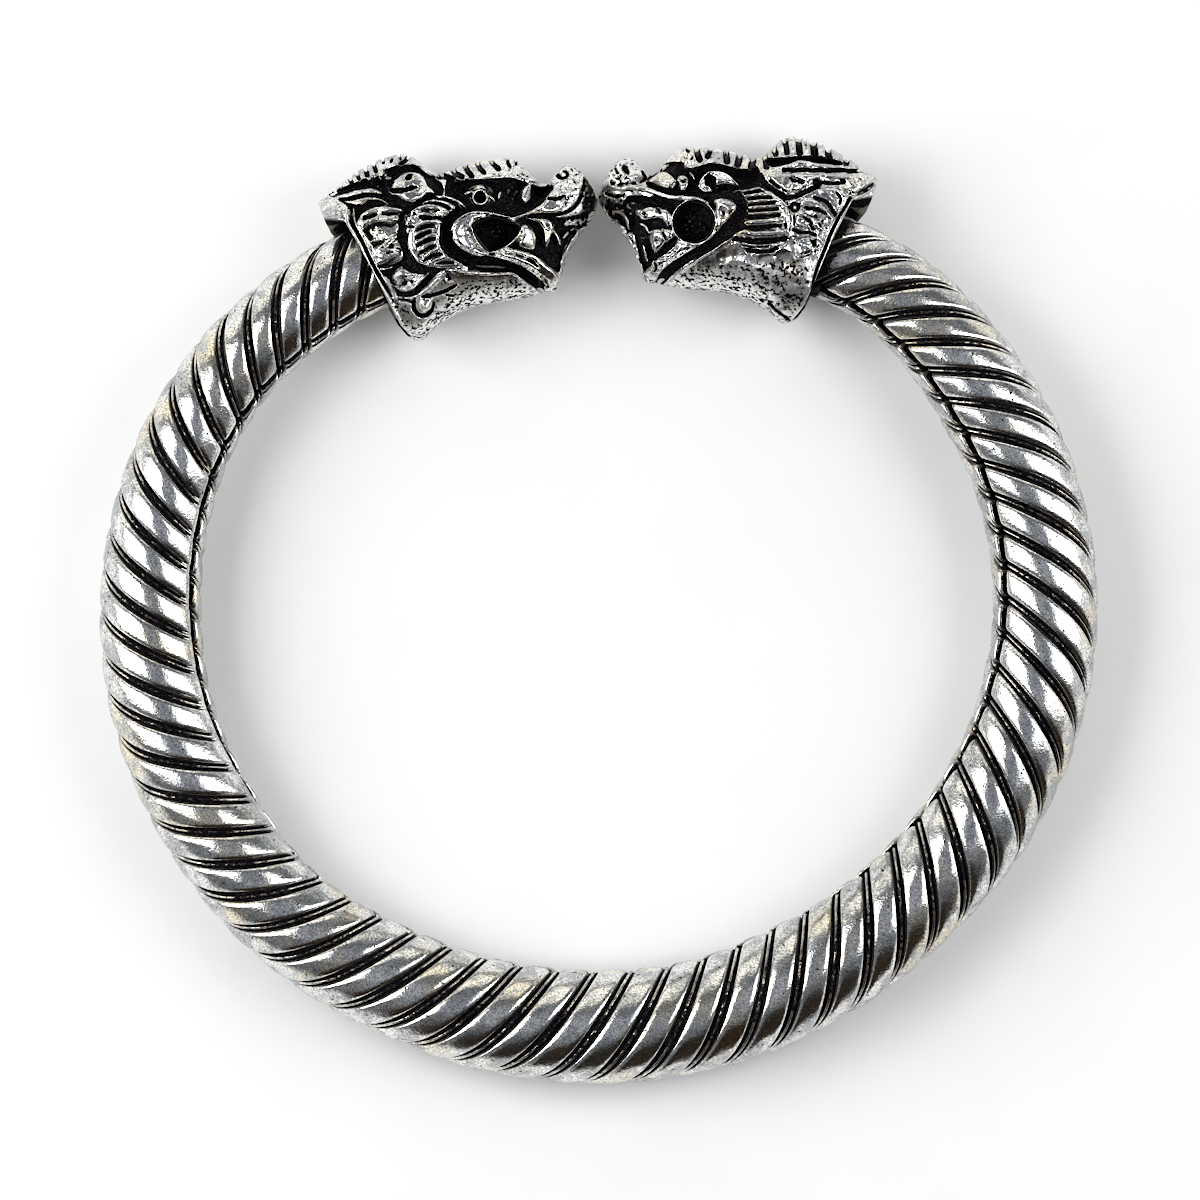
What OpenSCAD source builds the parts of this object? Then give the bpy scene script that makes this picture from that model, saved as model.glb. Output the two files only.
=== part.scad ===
// Open cuff bracelet: a rolled, grooved tube that ends in two cast dragon heads.
// It lies flat on its side, +Z up. The gap between the heads is on the +Y side.

/* [Band] */
// Diameter of the tube at the back of the wrist
back_dia = 9.24; // [8:0.02:10]
// Diameter of the tube where it enters a head
end_dia = 7.12; // [6.2:0.02:7.4]
// Thickness of the rolled strip
wall = 1.0; // [0.7:0.05:1.3]
// Width of the open seam slit along the tube
slit_w = 0.65; // [0.4:0.05:0.9]
// Depth of the two grooves beside the fine thread
groove_depth = 0.42; // [0.2:0.02:0.5]
// How far the fine thread stays below the wide strand
thread_drop = 0.08; // [0:0.02:0.3]
// How far a tube end reaches into a head, in degrees round the ring
inserted = 8; // [5:1:9]

/* [Heads] */
// Clearance between a tube end and its socket
socket_gap = 0.12; // [0.08:0.02:0.25]
// Widest half of a head, across the plane of the ring
head_half_w = 5.7; // [5.3:0.1:6.4]
// Radius of the round mouth
mouth_r = 1.68; // [1.3:0.02:1.8]
// Depth of the mouth below the cheek
mouth_depth = 2.6; // [1:0.1:3]

/* [Hidden] */

// Centre line of the tube, clockwise round the ring from the gap.
// angle, radius, share of the way from end to back diameter, seam angle, groove pitch, groove lead
BAND = [
    [ 15, 31.00, 0.00, 146, 5.10, 0.074],
    [ 35, 33.20, 0.00, 146, 5.10, 0.074],
    [ 45, 34.12, 0.00, 146, 5.10, 0.075],
    [ 60, 34.92, 0.26, 144, 5.05, 0.076],
    [ 75, 35.60, 0.36, 141, 5.05, 0.076],
    [ 90, 35.80, 0.46, 141, 5.13, 0.076],
    [105, 35.64, 0.60, 148, 5.25, 0.076],
    [120, 35.12, 0.68, 162, 5.42, 0.076],
    [135, 34.40, 0.68, 172, 5.55, 0.076],
    [150, 34.12, 0.84, 180, 5.65, 0.074],
    [165, 34.20, 0.92, 181, 5.68, 0.073],
    [180, 34.20, 1.00, 181, 5.63, 0.072],
    [195, 34.30, 0.86, 181, 5.52, 0.068],
    [210, 34.68, 0.56, 180, 5.35, 0.064],
    [225, 35.36, 0.36, 178, 5.15, 0.060],
    [240, 35.68, 0.31, 170, 4.92, 0.057],
    [255, 35.92, 0.30, 158, 4.75, 0.056],
    [270, 35.88, 0.28, 150, 4.68, 0.056],
    [285, 35.60, 0.16, 148, 4.65, 0.058],
    [300, 34.76, 0.02, 147, 4.72, 0.060],
    [315, 33.40, 0.00, 147, 4.90, 0.062],
    [325, 32.32, 0.00, 147, 5.00, 0.064],
    [345, 30.00, 0.00, 147, 5.00, 0.064]];
R = 1;
FATNESS = 2;
SEAM = 3;
PITCH = 4;
LEAD = 5;

// One repeat of the tube's surface: share of the pitch, depth below the wide strand
PROFILE = [[0, 0], [0.64, 0], [0.74, groove_depth], [0.82, thread_drop], [0.90, groove_depth]];
columns = 10;
swell = 2 / (1 + cos(180 / columns));
mouth_left = 325.8;
mouth_right = 34.2;
band_from = mouth_right - inserted;
band_to = mouth_left + inserted;
// Angle by which the rows start before the tube does, since the grooves slant
row_lead = 34;
ring_y = 0.92;

// Sockets: sides and rings of the plain tube, and how far it runs past the mouth and past the tube's end
socket_sides = 10;
socket_rings = 4;
socket_seam = 147;
socket_out = 3;
socket_in = 0.6;

// Where each head's own origin lies, and how far the right one is turned down
head_left_at = [-19.14, 27.36];
head_right_at = [19.13, 28.97];
head_right_turn = 3.5;

// Head in profile, nose along +X and crown along +Y, in millimetres.
// along, crown, chin, half width as a share, height of the widest line
HEAD = [
    [-3.5, 5.5, -7.0, 0.62, 0.6],
    [-1.6, 7.0, -7.0, 0.84, 0.6],
    [ 0.1, 8.2, -7.0, 0.90, 0.6],
    [ 2.0, 9.1, -6.6, 0.94, 0.8],
    [ 3.8, 9.3, -5.8, 0.97, 1.0],
    [ 5.0, 8.3, -5.6, 0.99, 1.2],
    [ 6.2, 7.7, -4.5, 1.00, 1.4],
    [ 8.3, 8.4, -3.3, 0.97, 2.0],
    [10.6, 8.8, -2.7, 0.89, 2.6],
    [12.3, 8.8, -2.5, 0.79, 3.0],
    [13.5, 7.8, -2.2, 0.71, 3.2],
    [14.7, 6.8, -1.9, 0.63, 3.4],
    [15.8, 7.9, -1.3, 0.56, 3.8],
    [16.5, 8.3,  1.0, 0.52, 5.0],
    [17.6, 7.8,  2.8, 0.43, 5.4],
    [18.5, 6.5,  3.9, 0.26, 5.3],
    [18.9, 5.6,  4.8, 0.08, 5.2]];
CROWN = 1;
CHIN = 2;
HALF_W = 3;
WIDEST = 4;
section_sides = 12;
section_power = 2.5;
// How deep raised details are rooted in the body, and how far cutters stand out of it
stroke_bury = 0.7;
rib_bury = 0.9;
boss_bury = 0.3;
cutter_over = 2;
// Share of a stroke's width and height left at its two ends
tip_width = 0.45;
tip_height = 0.67;
rib_flare = 0.14;
notch_half_w = 0.34;
notch_top = 0.6;
valley_top = 1;
round_sides = 12;
boss_sides = 8;

// Outline of the collar's mouth, cut square through the head
COLLAR_CUT = [
    [-3.3, 5.2], [-2.8, 4.0], [-1.1, 3.7], [0.8, 0.4],
    [3.7, -5.3], [3.9, -9.0], [-9.0, -9.0], [-9.0, 5.2]];

// Raised strokes of each side: start, middle, end, half width, height
RELIEF_A = [
    [[7.3, 2.6], [7.7, 5.2], [11.3, 4.1], 0.36, 0.55],
    [[11.1, 4.15], [13.6, 3.4], [15.2, 5.4], 0.38, 0.55],
    [[7.5, 2.4], [8.2, 0.8], [10.2, 0.9], 0.36, 0.50],
    [[10.0, 0.95], [13.9, 2.0], [15.6, -0.8], 0.42, 0.50],
    [[13.4, 3.2], [13.2, 2.3], [13.3, 1.7], 0.50, 0.55],
    [[13.7, 3.9], [14.9, 3.9], [14.9, 1.9], 0.34, 0.45],
    [[8.9, 5.4], [9.7, 6.9], [10.6, 5.6], 0.24, 0.35],
    [[8.85, 5.6], [9.7, 4.2], [10.5, 5.45], 0.24, 0.37],
    [[12.9, 5.5], [13.2, 6.0], [13.4, 6.55], 0.42, 0.55],
    [[5.6, 7.8], [6.6, 6.6], [6.9, 5.6], 0.34, 0.45],
    [[2.8, 6.6], [5.4, 8.6], [5.4, 6.0], 0.55, 0.50],
    [[5.45, 6.2], [4.6, 4.6], [2.7, 5.6], 0.44, 0.48],
    [[-2.0, 5.5], [0.0, 6.4], [2.0, 6.0], 0.34, 0.40],
    [[-0.2, 3.7], [1.0, 5.4], [3.6, 4.6], 0.36, 0.45],
    [[1.2, 1.2], [2.4, 0.8], [3.3, 2.3], 0.40, 0.45],
    [[3.5, 3.9], [3.2, 1.2], [5.2, 0.2], 0.34, 0.55],
    [[5.0, 0.3], [7.4, 0.9], [8.8, 0.2], 0.36, 0.45],
    [[3.9, 4.2], [5.6, 5.0], [7.3, 3.8], 0.30, 0.45],
    [[3.0, -1.6], [4.8, -2.0], [5.6, -0.4], 0.34, 0.40]];
RELIEF_B = [
    [[16.6, 7.4], [17.0, 5.8], [14.0, 5.2], 0.45, 0.50],
    [[14.2, 5.25], [11.6, 4.2], [9.9, 4.5], 0.36, 0.50],
    [[10.1, 4.4], [7.6, 4.4], [8.2, 2.9], 0.42, 0.50],
    [[8.15, 3.15], [8.8, 1.7], [9.9, 1.5], 0.40, 0.47],
    [[15.7, 3.7], [14.9, 4.2], [13.8, 3.6], 0.60, 0.45],
    [[14.5, 2.1], [14.0, 1.5], [13.4, 1.3], 0.60, 0.45],
    [[15.0, -1.2], [14.0, 0.5], [11.9, 0.9], 0.38, 0.45],
    [[10.9, 5.5], [10.0, 7.3], [7.8, 5.6], 0.26, 0.35],
    [[10.8, 5.4], [9.8, 4.75], [7.95, 5.5], 0.26, 0.37],
    [[14.2, 6.1], [13.7, 6.5], [13.1, 6.1], 0.45, 0.50],
    [[5.8, 6.3], [2.4, 6.8], [-0.8, 5.6], 0.36, 0.45],
    [[5.6, 5.6], [4.0, 3.9], [1.4, 5.2], 0.34, 0.40],
    [[0.8, 5.4], [-1.2, 5.6], [-3.0, 5.2], 0.40, 0.40],
    [[3.5, 3.9], [2.0, 5.2], [-0.6, 4.2], 0.38, 0.40],
    [[3.3, 2.7], [2.2, 4.0], [0.6, 2.4], 0.40, 0.40]];

// Carved strokes of each side: start, middle, end, half width, depth
CARVED_A = [
    [[7.4, 5.0], [5.4, 1.6], [9.0, 0.1], 0.44, 0.75],
    [[8.7, 0.2], [13.2, -0.1], [14.5, -1.8], 0.46, 0.72],
    [[7.2, 6.0], [10.0, 7.1], [13.4, 6.6], 0.60, 0.55],
    [[8.0, 5.2], [10.6, 4.6], [14.2, 5.6], 0.60, 0.55],
    [[-2.4, 6.1], [1.4, 6.9], [5.3, 8.1], 0.42, 0.70]];
CARVED_B = [
    [[7.8, 4.8], [6.8, 2.2], [10.2, 0.7], 0.44, 0.75],
    [[9.9, 0.9], [13.0, -0.6], [14.6, -1.95], 0.46, 0.72],
    [[12.9, 5.2], [10.4, 4.7], [7.4, 4.9], 0.40, 0.55],
    [[6.8, 6.9], [9.6, 7.2], [12.6, 6.5], 0.50, 0.55],
    [[5.5, 7.1], [2.0, 7.9], [-2.6, 6.0], 0.42, 0.70]];

// Fans of fine ribs: first rib start and end, last rib start and end, ribs, half width, height
RIBS_A = [[[4.7, 3.3], [6.6, 3.4], [5.0, 0.8], [7.0, 1.0], 4, 0.17, 0.40]];
RIBS_B = [[[7.5, 4.8], [5.6, 4.8], [8.0, 1.1], [4.6, 0.6], 5, 0.16, 0.40]];

// Notches over the combs: from, to along the head, count, depth, lean
BROW_COMB = [6.9, 12.9, 6, 0.75, 0.5];
EAR_COMB = [-1.3, 4.9, 6, 0.60, -0.4];

// Valley along the crown, between the ears and between the brows: along, depth, half width
VALLEY = [
    [-4.5, 3.0, 2.6],
    [ 0.3, 2.8, 2.6],
    [ 3.4, 2.4, 2.4],
    [ 5.4, 0.9, 1.2],
    [ 9.4, 1.1, 1.5],
    [12.8, 1.1, 1.5],
    [14.9, 0.1, 0.6]];

// Round bosses: centre and radius
BOSSES_A = [[3.6, -0.3, 0.85], [16.3, 7.3, 0.95]];
BOSSES_B = [[15.3, 3.6, 0.70], [16.3, 7.3, 0.95]];
mouth_a_at = [10.9, 2.68];
mouth_b_at = [11.5, 2.8];
pupil_r = 0.46;
pupil_depth = 0.5;
pupil_a_at = [9.7, 5.56];
pupil_b_at = [10.0, 5.9];

// How far the heads and the back reach below the ring's plane, and where they touch the surface
head_reach = head_half_w + 0.4;
back_reach = back_dia / 2 * 0.987;
heads_y = 29;
back_y = -33.3;
rest_tilt = asin((head_reach - back_reach) / (heads_y - back_y));
rest_lift = back_reach * cos(rest_tilt) - back_y * sin(rest_tilt);
// Puts the origin under the middle of the whole bracelet
middle = [0.06, -0.09];

// Smooth reading of a table: Hermite pieces with slopes taken from the neighbouring rows
function row_below(t, x) = max([0, for (i = [0 : len(t) - 2]) if (t[i][0] <= x) i]);
function slope(t, c, i) =
    let (a = max(i - 1, 0), b = min(i + 1, len(t) - 1))
    (t[b][c] - t[a][c]) / (t[b][0] - t[a][0]);
function read(t, c, x) =
    let (
        i = row_below(t, x),
        h = t[i + 1][0] - t[i][0],
        f = min(max((x - t[i][0]) / h, 0), 1),
        g = 1 - f)
    g * g * (1 + 2 * f) * t[i][c] + f * f * (1 + 2 * g) * t[i + 1][c]
    + h * f * g * (g * slope(t, c, i) - f * slope(t, c, i + 1));

// The tube's centre line, its outward direction and its radius at an angle round the ring
function centre(a) = [read(BAND, R, a) * sin(a), read(BAND, R, a) * cos(a) + ring_y];
function outward(a) =
    let (d = centre(a + 0.5) - centre(a - 0.5))
    [-d[1], d[0]] / norm(d);
function tube_r(a) = (end_dia + (back_dia - end_dia) * read(BAND, FATNESS, a)) / 2;
function on_tube(a, side, r) =
    let (c = centre(a), n = outward(a))
    [c[0] + n[0] * r * cos(side), c[1] + n[1] * r * cos(side), r * sin(side)];

// Grooves slant: a point turned from the inner side lies further round the ring.
// The tube runs from one edge of the seam slit, over the top, to the other edge.
function half_slit(a) = slit_w / tube_r(a) / 2 * 180 / PI;
function side_at(a, i) =
    let (s = half_slit(a))
    read(BAND, SEAM, a) - s - (360 - 2 * s) * i / columns;
function slanted(a, i) = a + read(BAND, LEAD, a) * (180 - side_at(a, i));
function ring_angle(a, i) = a + read(BAND, LEAD, a) * (180 - side_at(slanted(a, i), i));

repeats = [
    for (a = band_from - row_lead; a < band_to + 2; a = a + read(BAND, PITCH, a)) a];
rows = [
    for (a = repeats, p = PROFILE) [a + p[0] * read(BAND, PITCH, a), p[1]]];
inner_step = 2 * len(PROFILE);

// The first and last row of a column that lie between the tube's two ends
function first_row(i) = max([for (j = [0 : len(rows) - 1]) if (ring_angle(rows[j][0], i) <= band_from) j]);
function last_row(i) = min([for (j = [0 : len(rows) - 1]) if (ring_angle(rows[j][0], i) >= band_to) j]);

function tube_point(j, i, low, high, inner) =
    let (
        a = j <= low ? band_from : j >= high ? band_to : ring_angle(rows[j][0], i),
        depth = inner ? wall : j <= low || j >= high ? 0 : rows[j][1])
    on_tube(a, side_at(a, i), (tube_r(a) - depth) * swell);

// Caps of a plain closed row: quads that fan out from its first point
function fan_caps(n) = [for (k = [1 : 2 : n - 3]) [0, k, k + 1, k + 2]];

// Solid from a grid of points whose rows close on themselves, with a cap over the first and last row.
// kept says which row a point is taken from, so a stretch that repeats one row shrinks to nothing.
module skin(grid, caps, kept = undef) {
    n = len(grid[0]);
    last = len(grid) - 1;
    function at(j, k) = (kept == undef ? j : kept[j][k % n]) * n + k % n;
    faces = [
        for (j = [0 : last - 1], k = [0 : n - 1])
            [at(j, k), at(j, k + 1), at(j + 1, k + 1), at(j + 1, k)],
        for (c = caps) [for (k = [3, 2, 1, 0]) at(0, c[k])],
        for (c = caps) [for (k = c) at(last, k)]];
    triangles = [
        for (q = faces, t = [[q[0], q[1], q[2]], [q[0], q[2], q[3]]])
            if (t[0] != t[1] && t[1] != t[2] && t[0] != t[2]) t];
    polyhedron([for (r = grid) each r], triangles);
}

// Rolled tube with its slanted grooves, hollow and open along the seam
module band() {
    n = columns + 1;
    low = [for (i = [0 : columns]) first_row(i)];
    high = [for (i = [0 : columns]) last_row(i)];
    loop = [for (i = [0 : columns]) [i, false], for (i = [0 : columns]) [columns - i, true]];
    count = len(rows);
    grid = [
        for (j = [0 : count - 1]) [
            for (c = loop) tube_point(j, c[0], low[c[0]], high[c[0]], c[1])]];
    kept = [
        for (j = [0 : count - 1]) [
            for (c = loop)
                let (own = c[1] ? inner_step * floor(j / inner_step) : j)
                j >= high[c[0]] ? high[c[0]] : max(own, low[c[0]])]];
    caps = [for (k = [0 : columns - 1]) [k, k + 1, 2 * n - 2 - k, 2 * n - 1 - k]];
    color("silver") rest() skin(grid, caps, kept);
}

// Plain tube along the ring between two angles, on the band's centre line
module socket(from, to) {
    grid = [
        for (j = [0 : socket_rings])
            let (
                a = from + (to - from) * j / socket_rings,
                r = (tube_r(a) * swell + socket_gap) / cos(180 / socket_sides))
            [for (k = [0 : socket_sides - 1]) on_tube(a, socket_seam - 360 * k / socket_sides, r)]];
    skin(grid, fan_caps(socket_sides));
}

// Half width of a head at a point of its profile
function half_w_at(u, v) =
    let (
        m = read(HEAD, WIDEST, u),
        reach = v > m ? read(HEAD, CROWN, u) - m : m - read(HEAD, CHIN, u),
        t = min(abs(v - m) / reach, 0.98))
    head_half_w * read(HEAD, HALF_W, u) * pow(1 - pow(t, section_power), 1 / section_power);

// Rounded body of a head, one section for each row of the table
module head_body() {
    function soft(x) = sign(x) * pow(abs(x), 2 / section_power);
    grid = [
        for (h = HEAD) [
            for (k = [0 : section_sides - 1])
                let (
                    a = 360 * (k + 0.5) / section_sides,
                    reach = sin(a) > 0 ? h[CROWN] - h[WIDEST] : h[WIDEST] - h[CHIN])
                [h[0], h[WIDEST] + reach * soft(sin(a)), head_half_w * h[HALF_W] * soft(cos(a))]]];
    skin(grid, fan_caps(section_sides));
}

// Bent stroke on one side of a head, raised where height is positive and carved where it is negative
module stroke(row, side, height) {
    start = row[0];
    pull = row[1];
    end = row[2];
    pieces = norm(end - start) > 3 ? 3 : 2;
    function on_bend(f) = start * (1 - f) * (1 - f) + pull * 2 * f * (1 - f) + end * f * f;
    grid = [
        for (j = [0 : pieces])
            let (
                f = j / pieces,
                p = on_bend(f),
                d = on_bend(min(f + 0.05, 1)) - on_bend(max(f - 0.05, 0)),
                n = [-d[1], d[0]] / norm(d),
                tip = j == 0 || j == pieces,
                w = half_w_at(p[0], p[1]),
                low = w - sign(height) * stroke_bury,
                high = w + height * (tip ? tip_height : 1),
                b = row[3] * (tip ? tip_width : 1))
            [
                for (c = [[-b, low], [0, high], [b, low]])
                    [p[0] + n[0] * c[0], p[1] + n[1] * c[0], side * c[1]]]];
    flip = side * height > 0;
    ordered = [for (r = grid) flip ? r : [r[2], r[1], r[0]]];
    skin(ordered, [[0, 1, 2, 2]]);
}

// All strokes of a table: way is 1 for raised ones and -1 for carved ones
module strokes(rows, side, way) {
    for (r = rows) stroke(r, side, way * r[4]);
}

// Fine parallel ribs between a first and a last rib
module ribs(fan, side) {
    count = fan[4];
    for (k = [0 : count - 1]) {
        f = k / (count - 1);
        from = fan[0] * (1 - f) + fan[2] * f;
        to = fan[1] * (1 - f) + fan[3] * f;
        hull()
            for (p = [from, to])
                translate([p[0], p[1], side * (half_w_at(p[0], p[1]) + fan[6] - rib_bury)])
                    rotate([0, side > 0 ? 0 : 180, 0])
                        cylinder(r1 = fan[5] + rib_flare, r2 = fan[5], h = rib_bury, $fn = 4);
    }
}

// Row of notches that turns the crown into a comb
module comb(row) {
    for (k = [0 : row[2] - 1]) {
        u = row[0] + (row[1] - row[0]) * k / (row[2] - 1);
        v = read(HEAD, CROWN, u);
        translate([0, 0, -head_half_w])
            linear_extrude(2 * head_half_w)
                polygon([
                    [u, v - row[3]],
                    [u + row[4] + notch_half_w, v + notch_top],
                    [u + row[4] - notch_half_w, v + notch_top]]);
    }
}

// Groove with slanted walls along the top of a head
module valley() {
    grid = [
        for (row = VALLEY)
            let (v = read(HEAD, CROWN, row[0]))
            [
                [row[0], v - row[1], 0],
                [row[0], v + valley_top, row[2]],
                [row[0], v + valley_top, -row[2]]]];
    skin(grid, [[0, 1, 2, 2]]);
}

// Round pit in one side of a head
module pit(at, r, depth, side) {
    w = half_w_at(at[0], at[1]);
    translate([at[0], at[1], side > 0 ? w - depth : -w - cutter_over])
        cylinder(r = r, h = depth + cutter_over, $fn = round_sides);
}

// Half round boss on one side of a head
module bosses(rows, side) {
    for (b = rows)
        hull()
            translate([b[0], b[1], side * (half_w_at(b[0], b[1]) - boss_bury)])
                sphere(r = b[2], $fn = boss_sides);
}

// The casting: side A is up, side B is down
module casting() {
    difference() {
        union() {
            difference() {
                head_body();
                strokes(CARVED_A, 1, -1);
                strokes(CARVED_B, -1, -1);
                comb(BROW_COMB);
                comb(EAR_COMB);
                valley();
            }
            strokes(RELIEF_A, 1, 1);
            strokes(RELIEF_B, -1, 1);
            for (fan = RIBS_A) ribs(fan, 1);
            for (fan = RIBS_B) ribs(fan, -1);
            bosses(BOSSES_A, 1);
            bosses(BOSSES_B, -1);
        }
        pit(mouth_a_at, mouth_r, mouth_depth, 1);
        pit(mouth_b_at, mouth_r, mouth_depth, -1);
        pit(pupil_a_at, pupil_r, pupil_depth, 1);
        pit(pupil_b_at, pupil_r, pupil_depth, -1);
        translate([0, 0, -2 * head_half_w])
            linear_extrude(4 * head_half_w)
                polygon(COLLAR_CUT);
    }
}

module head_left() {
    color("gainsboro") rest() difference() {
        translate(head_left_at) casting();
        socket(mouth_left - socket_out, band_to + socket_in);
    }
}

module head_right() {
    color("gainsboro") rest() difference() {
        translate(head_right_at) rotate([0, 0, head_right_turn]) rotate([0, 180, 0]) casting();
        socket(band_from - socket_in, mouth_right + socket_out);
    }
}

// Tips the ring up a little, so that its thick back and both heads rest on one surface
module rest() {
    translate([-middle[0], -middle[1], rest_lift]) rotate([rest_tilt, 0, 0]) children();
}

band();
head_left();
head_right();
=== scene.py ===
"""Open cuff bracelet: a rolled tube with slanted grooves that ends in two cast dragon heads.

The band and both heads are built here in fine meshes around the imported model, which stays as the frame.
Lengths are in millimetres until place() turns them into metres.
"""

import bmesh
import bpy
import numpy as np
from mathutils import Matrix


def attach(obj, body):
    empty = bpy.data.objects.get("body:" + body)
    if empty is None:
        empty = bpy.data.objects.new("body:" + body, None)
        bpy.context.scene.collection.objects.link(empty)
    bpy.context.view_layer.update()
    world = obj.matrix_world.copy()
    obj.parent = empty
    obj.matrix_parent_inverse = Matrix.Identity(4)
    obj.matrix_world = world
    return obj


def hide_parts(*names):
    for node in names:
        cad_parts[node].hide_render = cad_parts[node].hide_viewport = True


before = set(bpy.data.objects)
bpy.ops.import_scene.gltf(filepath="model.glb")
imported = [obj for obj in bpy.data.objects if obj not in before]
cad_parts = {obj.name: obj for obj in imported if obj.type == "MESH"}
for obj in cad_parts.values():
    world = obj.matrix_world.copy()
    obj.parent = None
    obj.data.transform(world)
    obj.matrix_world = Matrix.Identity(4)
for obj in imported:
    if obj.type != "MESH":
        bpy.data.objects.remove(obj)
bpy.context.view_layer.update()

import openvdb

MM = 0.001
# Two points of a mesh are one if they are closer than this
SAME_POINT = 1e-7
rng = np.random.default_rng(11)

# Driving dimensions of the tube
BACK_DIA = 9.24
END_DIA = 7.12
WALL = 1.0
SLIT_W = 0.65
# Driving dimensions of a head: half its width, how far its carving stands proud, room round the tube end
HEAD_HALF_W = 5.7
HEAD_CARVING = 0.4
SOCKET_GAP = 0.12

# Where the ring lies: its plane is tipped a little, so that the thick back and both heads touch the floor.
# How far they reach below that plane, and where they touch
BACK_SHARE = 0.987
BACK_REACH = BACK_DIA / 2 * BACK_SHARE
HEAD_REACH = HEAD_HALF_W + HEAD_CARVING
HEADS_Y = 29.0
BACK_Y = -33.3
TILT = np.arcsin((HEAD_REACH - BACK_REACH) / (HEADS_Y - BACK_Y))
LIFT = BACK_REACH * np.cos(TILT) - BACK_Y * np.sin(TILT)
MIDDLE = (0.06, -0.09)


def place(points):
    """Points of the level ring, in millimetres, as they lie on the floor, in metres."""
    x, y, z = points[:, 0], points[:, 1], points[:, 2]
    lying = [
        x - MIDDLE[0],
        y * np.cos(TILT) - z * np.sin(TILT) - MIDDLE[1],
        y * np.sin(TILT) + z * np.cos(TILT) + LIFT,
    ]
    return np.stack(lying, axis=1) * MM


def read(table, column, x):
    """A column of a table at x, by Hermite pieces with slopes taken from the neighbouring rows."""
    rows = np.asarray(table, float)
    keys, values = rows[:, 0], rows[:, column]
    slopes = np.empty(len(keys))
    slopes[1:-1] = (values[2:] - values[:-2]) / (keys[2:] - keys[:-2])
    slopes[0] = (values[1] - values[0]) / (keys[1] - keys[0])
    slopes[-1] = (values[-1] - values[-2]) / (keys[-1] - keys[-2])
    i = np.clip(np.searchsorted(keys, x, side="right") - 1, 0, len(keys) - 2)
    h = keys[i + 1] - keys[i]
    f = np.clip((x - keys[i]) / h, 0, 1)
    g = 1 - f
    ends = g * g * (1 + 2 * f) * values[i] + f * f * (1 + 2 * g) * values[i + 1]
    return ends + h * f * g * (g * slopes[i] - f * slopes[i + 1])


def ramp(x, low, high):
    """Smooth step from 0 at low to 1 at high."""
    t = np.clip((x - low) / (high - low), 0, 1)
    return t * t * (3 - 2 * t)


def ripples(points, length, count=14):
    """Smooth unevenness between about -1 and 1, with waves of roughly that length."""
    total = np.zeros(points.shape[:-1])
    for _ in range(count):
        way = rng.normal(size=points.shape[-1])
        way *= 2 * np.pi / length * rng.uniform(0.6, 1.5) / np.linalg.norm(way)
        total += np.cos(points @ way + rng.uniform(0, 2 * np.pi))
    return total / np.sqrt(count)


def add_field(mesh, name, values):
    """Number at each point of a mesh, for its material."""
    mesh.attributes.new(name, "FLOAT", "POINT").data.foreach_set("value", values.astype(np.float32))


def make_mesh(name, points, faces):
    """Smooth-shaded object from points and faces of four corners."""
    mesh = bpy.data.meshes.new(name)
    mesh.from_pydata(points.tolist(), [], faces.tolist())
    mesh.update()
    mesh.polygons.foreach_set("use_smooth", np.ones(len(mesh.polygons), bool))
    thing = bpy.data.objects.new(name, mesh)
    bpy.context.scene.collection.objects.link(thing)
    return thing


def largest_part(shape):
    """Deletes every loose part of a bmesh but the largest."""
    parts = []
    left = set(shape.verts)
    while left:
        part = []
        todo = [left.pop()]
        while todo:
            vert = todo.pop()
            part.append(vert)
            for edge in vert.link_edges:
                other = edge.other_vert(vert)
                if other in left:
                    left.discard(other)
                    todo.append(other)
        parts.append(part)
    parts.sort(key=len)
    crumbs = [vert for part in parts[:-1] for vert in part]
    bmesh.ops.delete(shape, geom=crumbs, context="VERTS")


def close_up(mesh):
    """Makes a mesh one closed skin: joins equal points, caps open ends, and turns its faces outward."""
    shape = bmesh.new()
    shape.from_mesh(mesh)
    bmesh.ops.remove_doubles(shape, verts=shape.verts, dist=SAME_POINT)
    bmesh.ops.holes_fill(shape, edges=[edge for edge in shape.edges if edge.is_boundary])
    largest_part(shape)
    bmesh.ops.recalc_face_normals(shape, faces=shape.faces)
    shape.to_mesh(mesh)
    shape.free()


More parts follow.
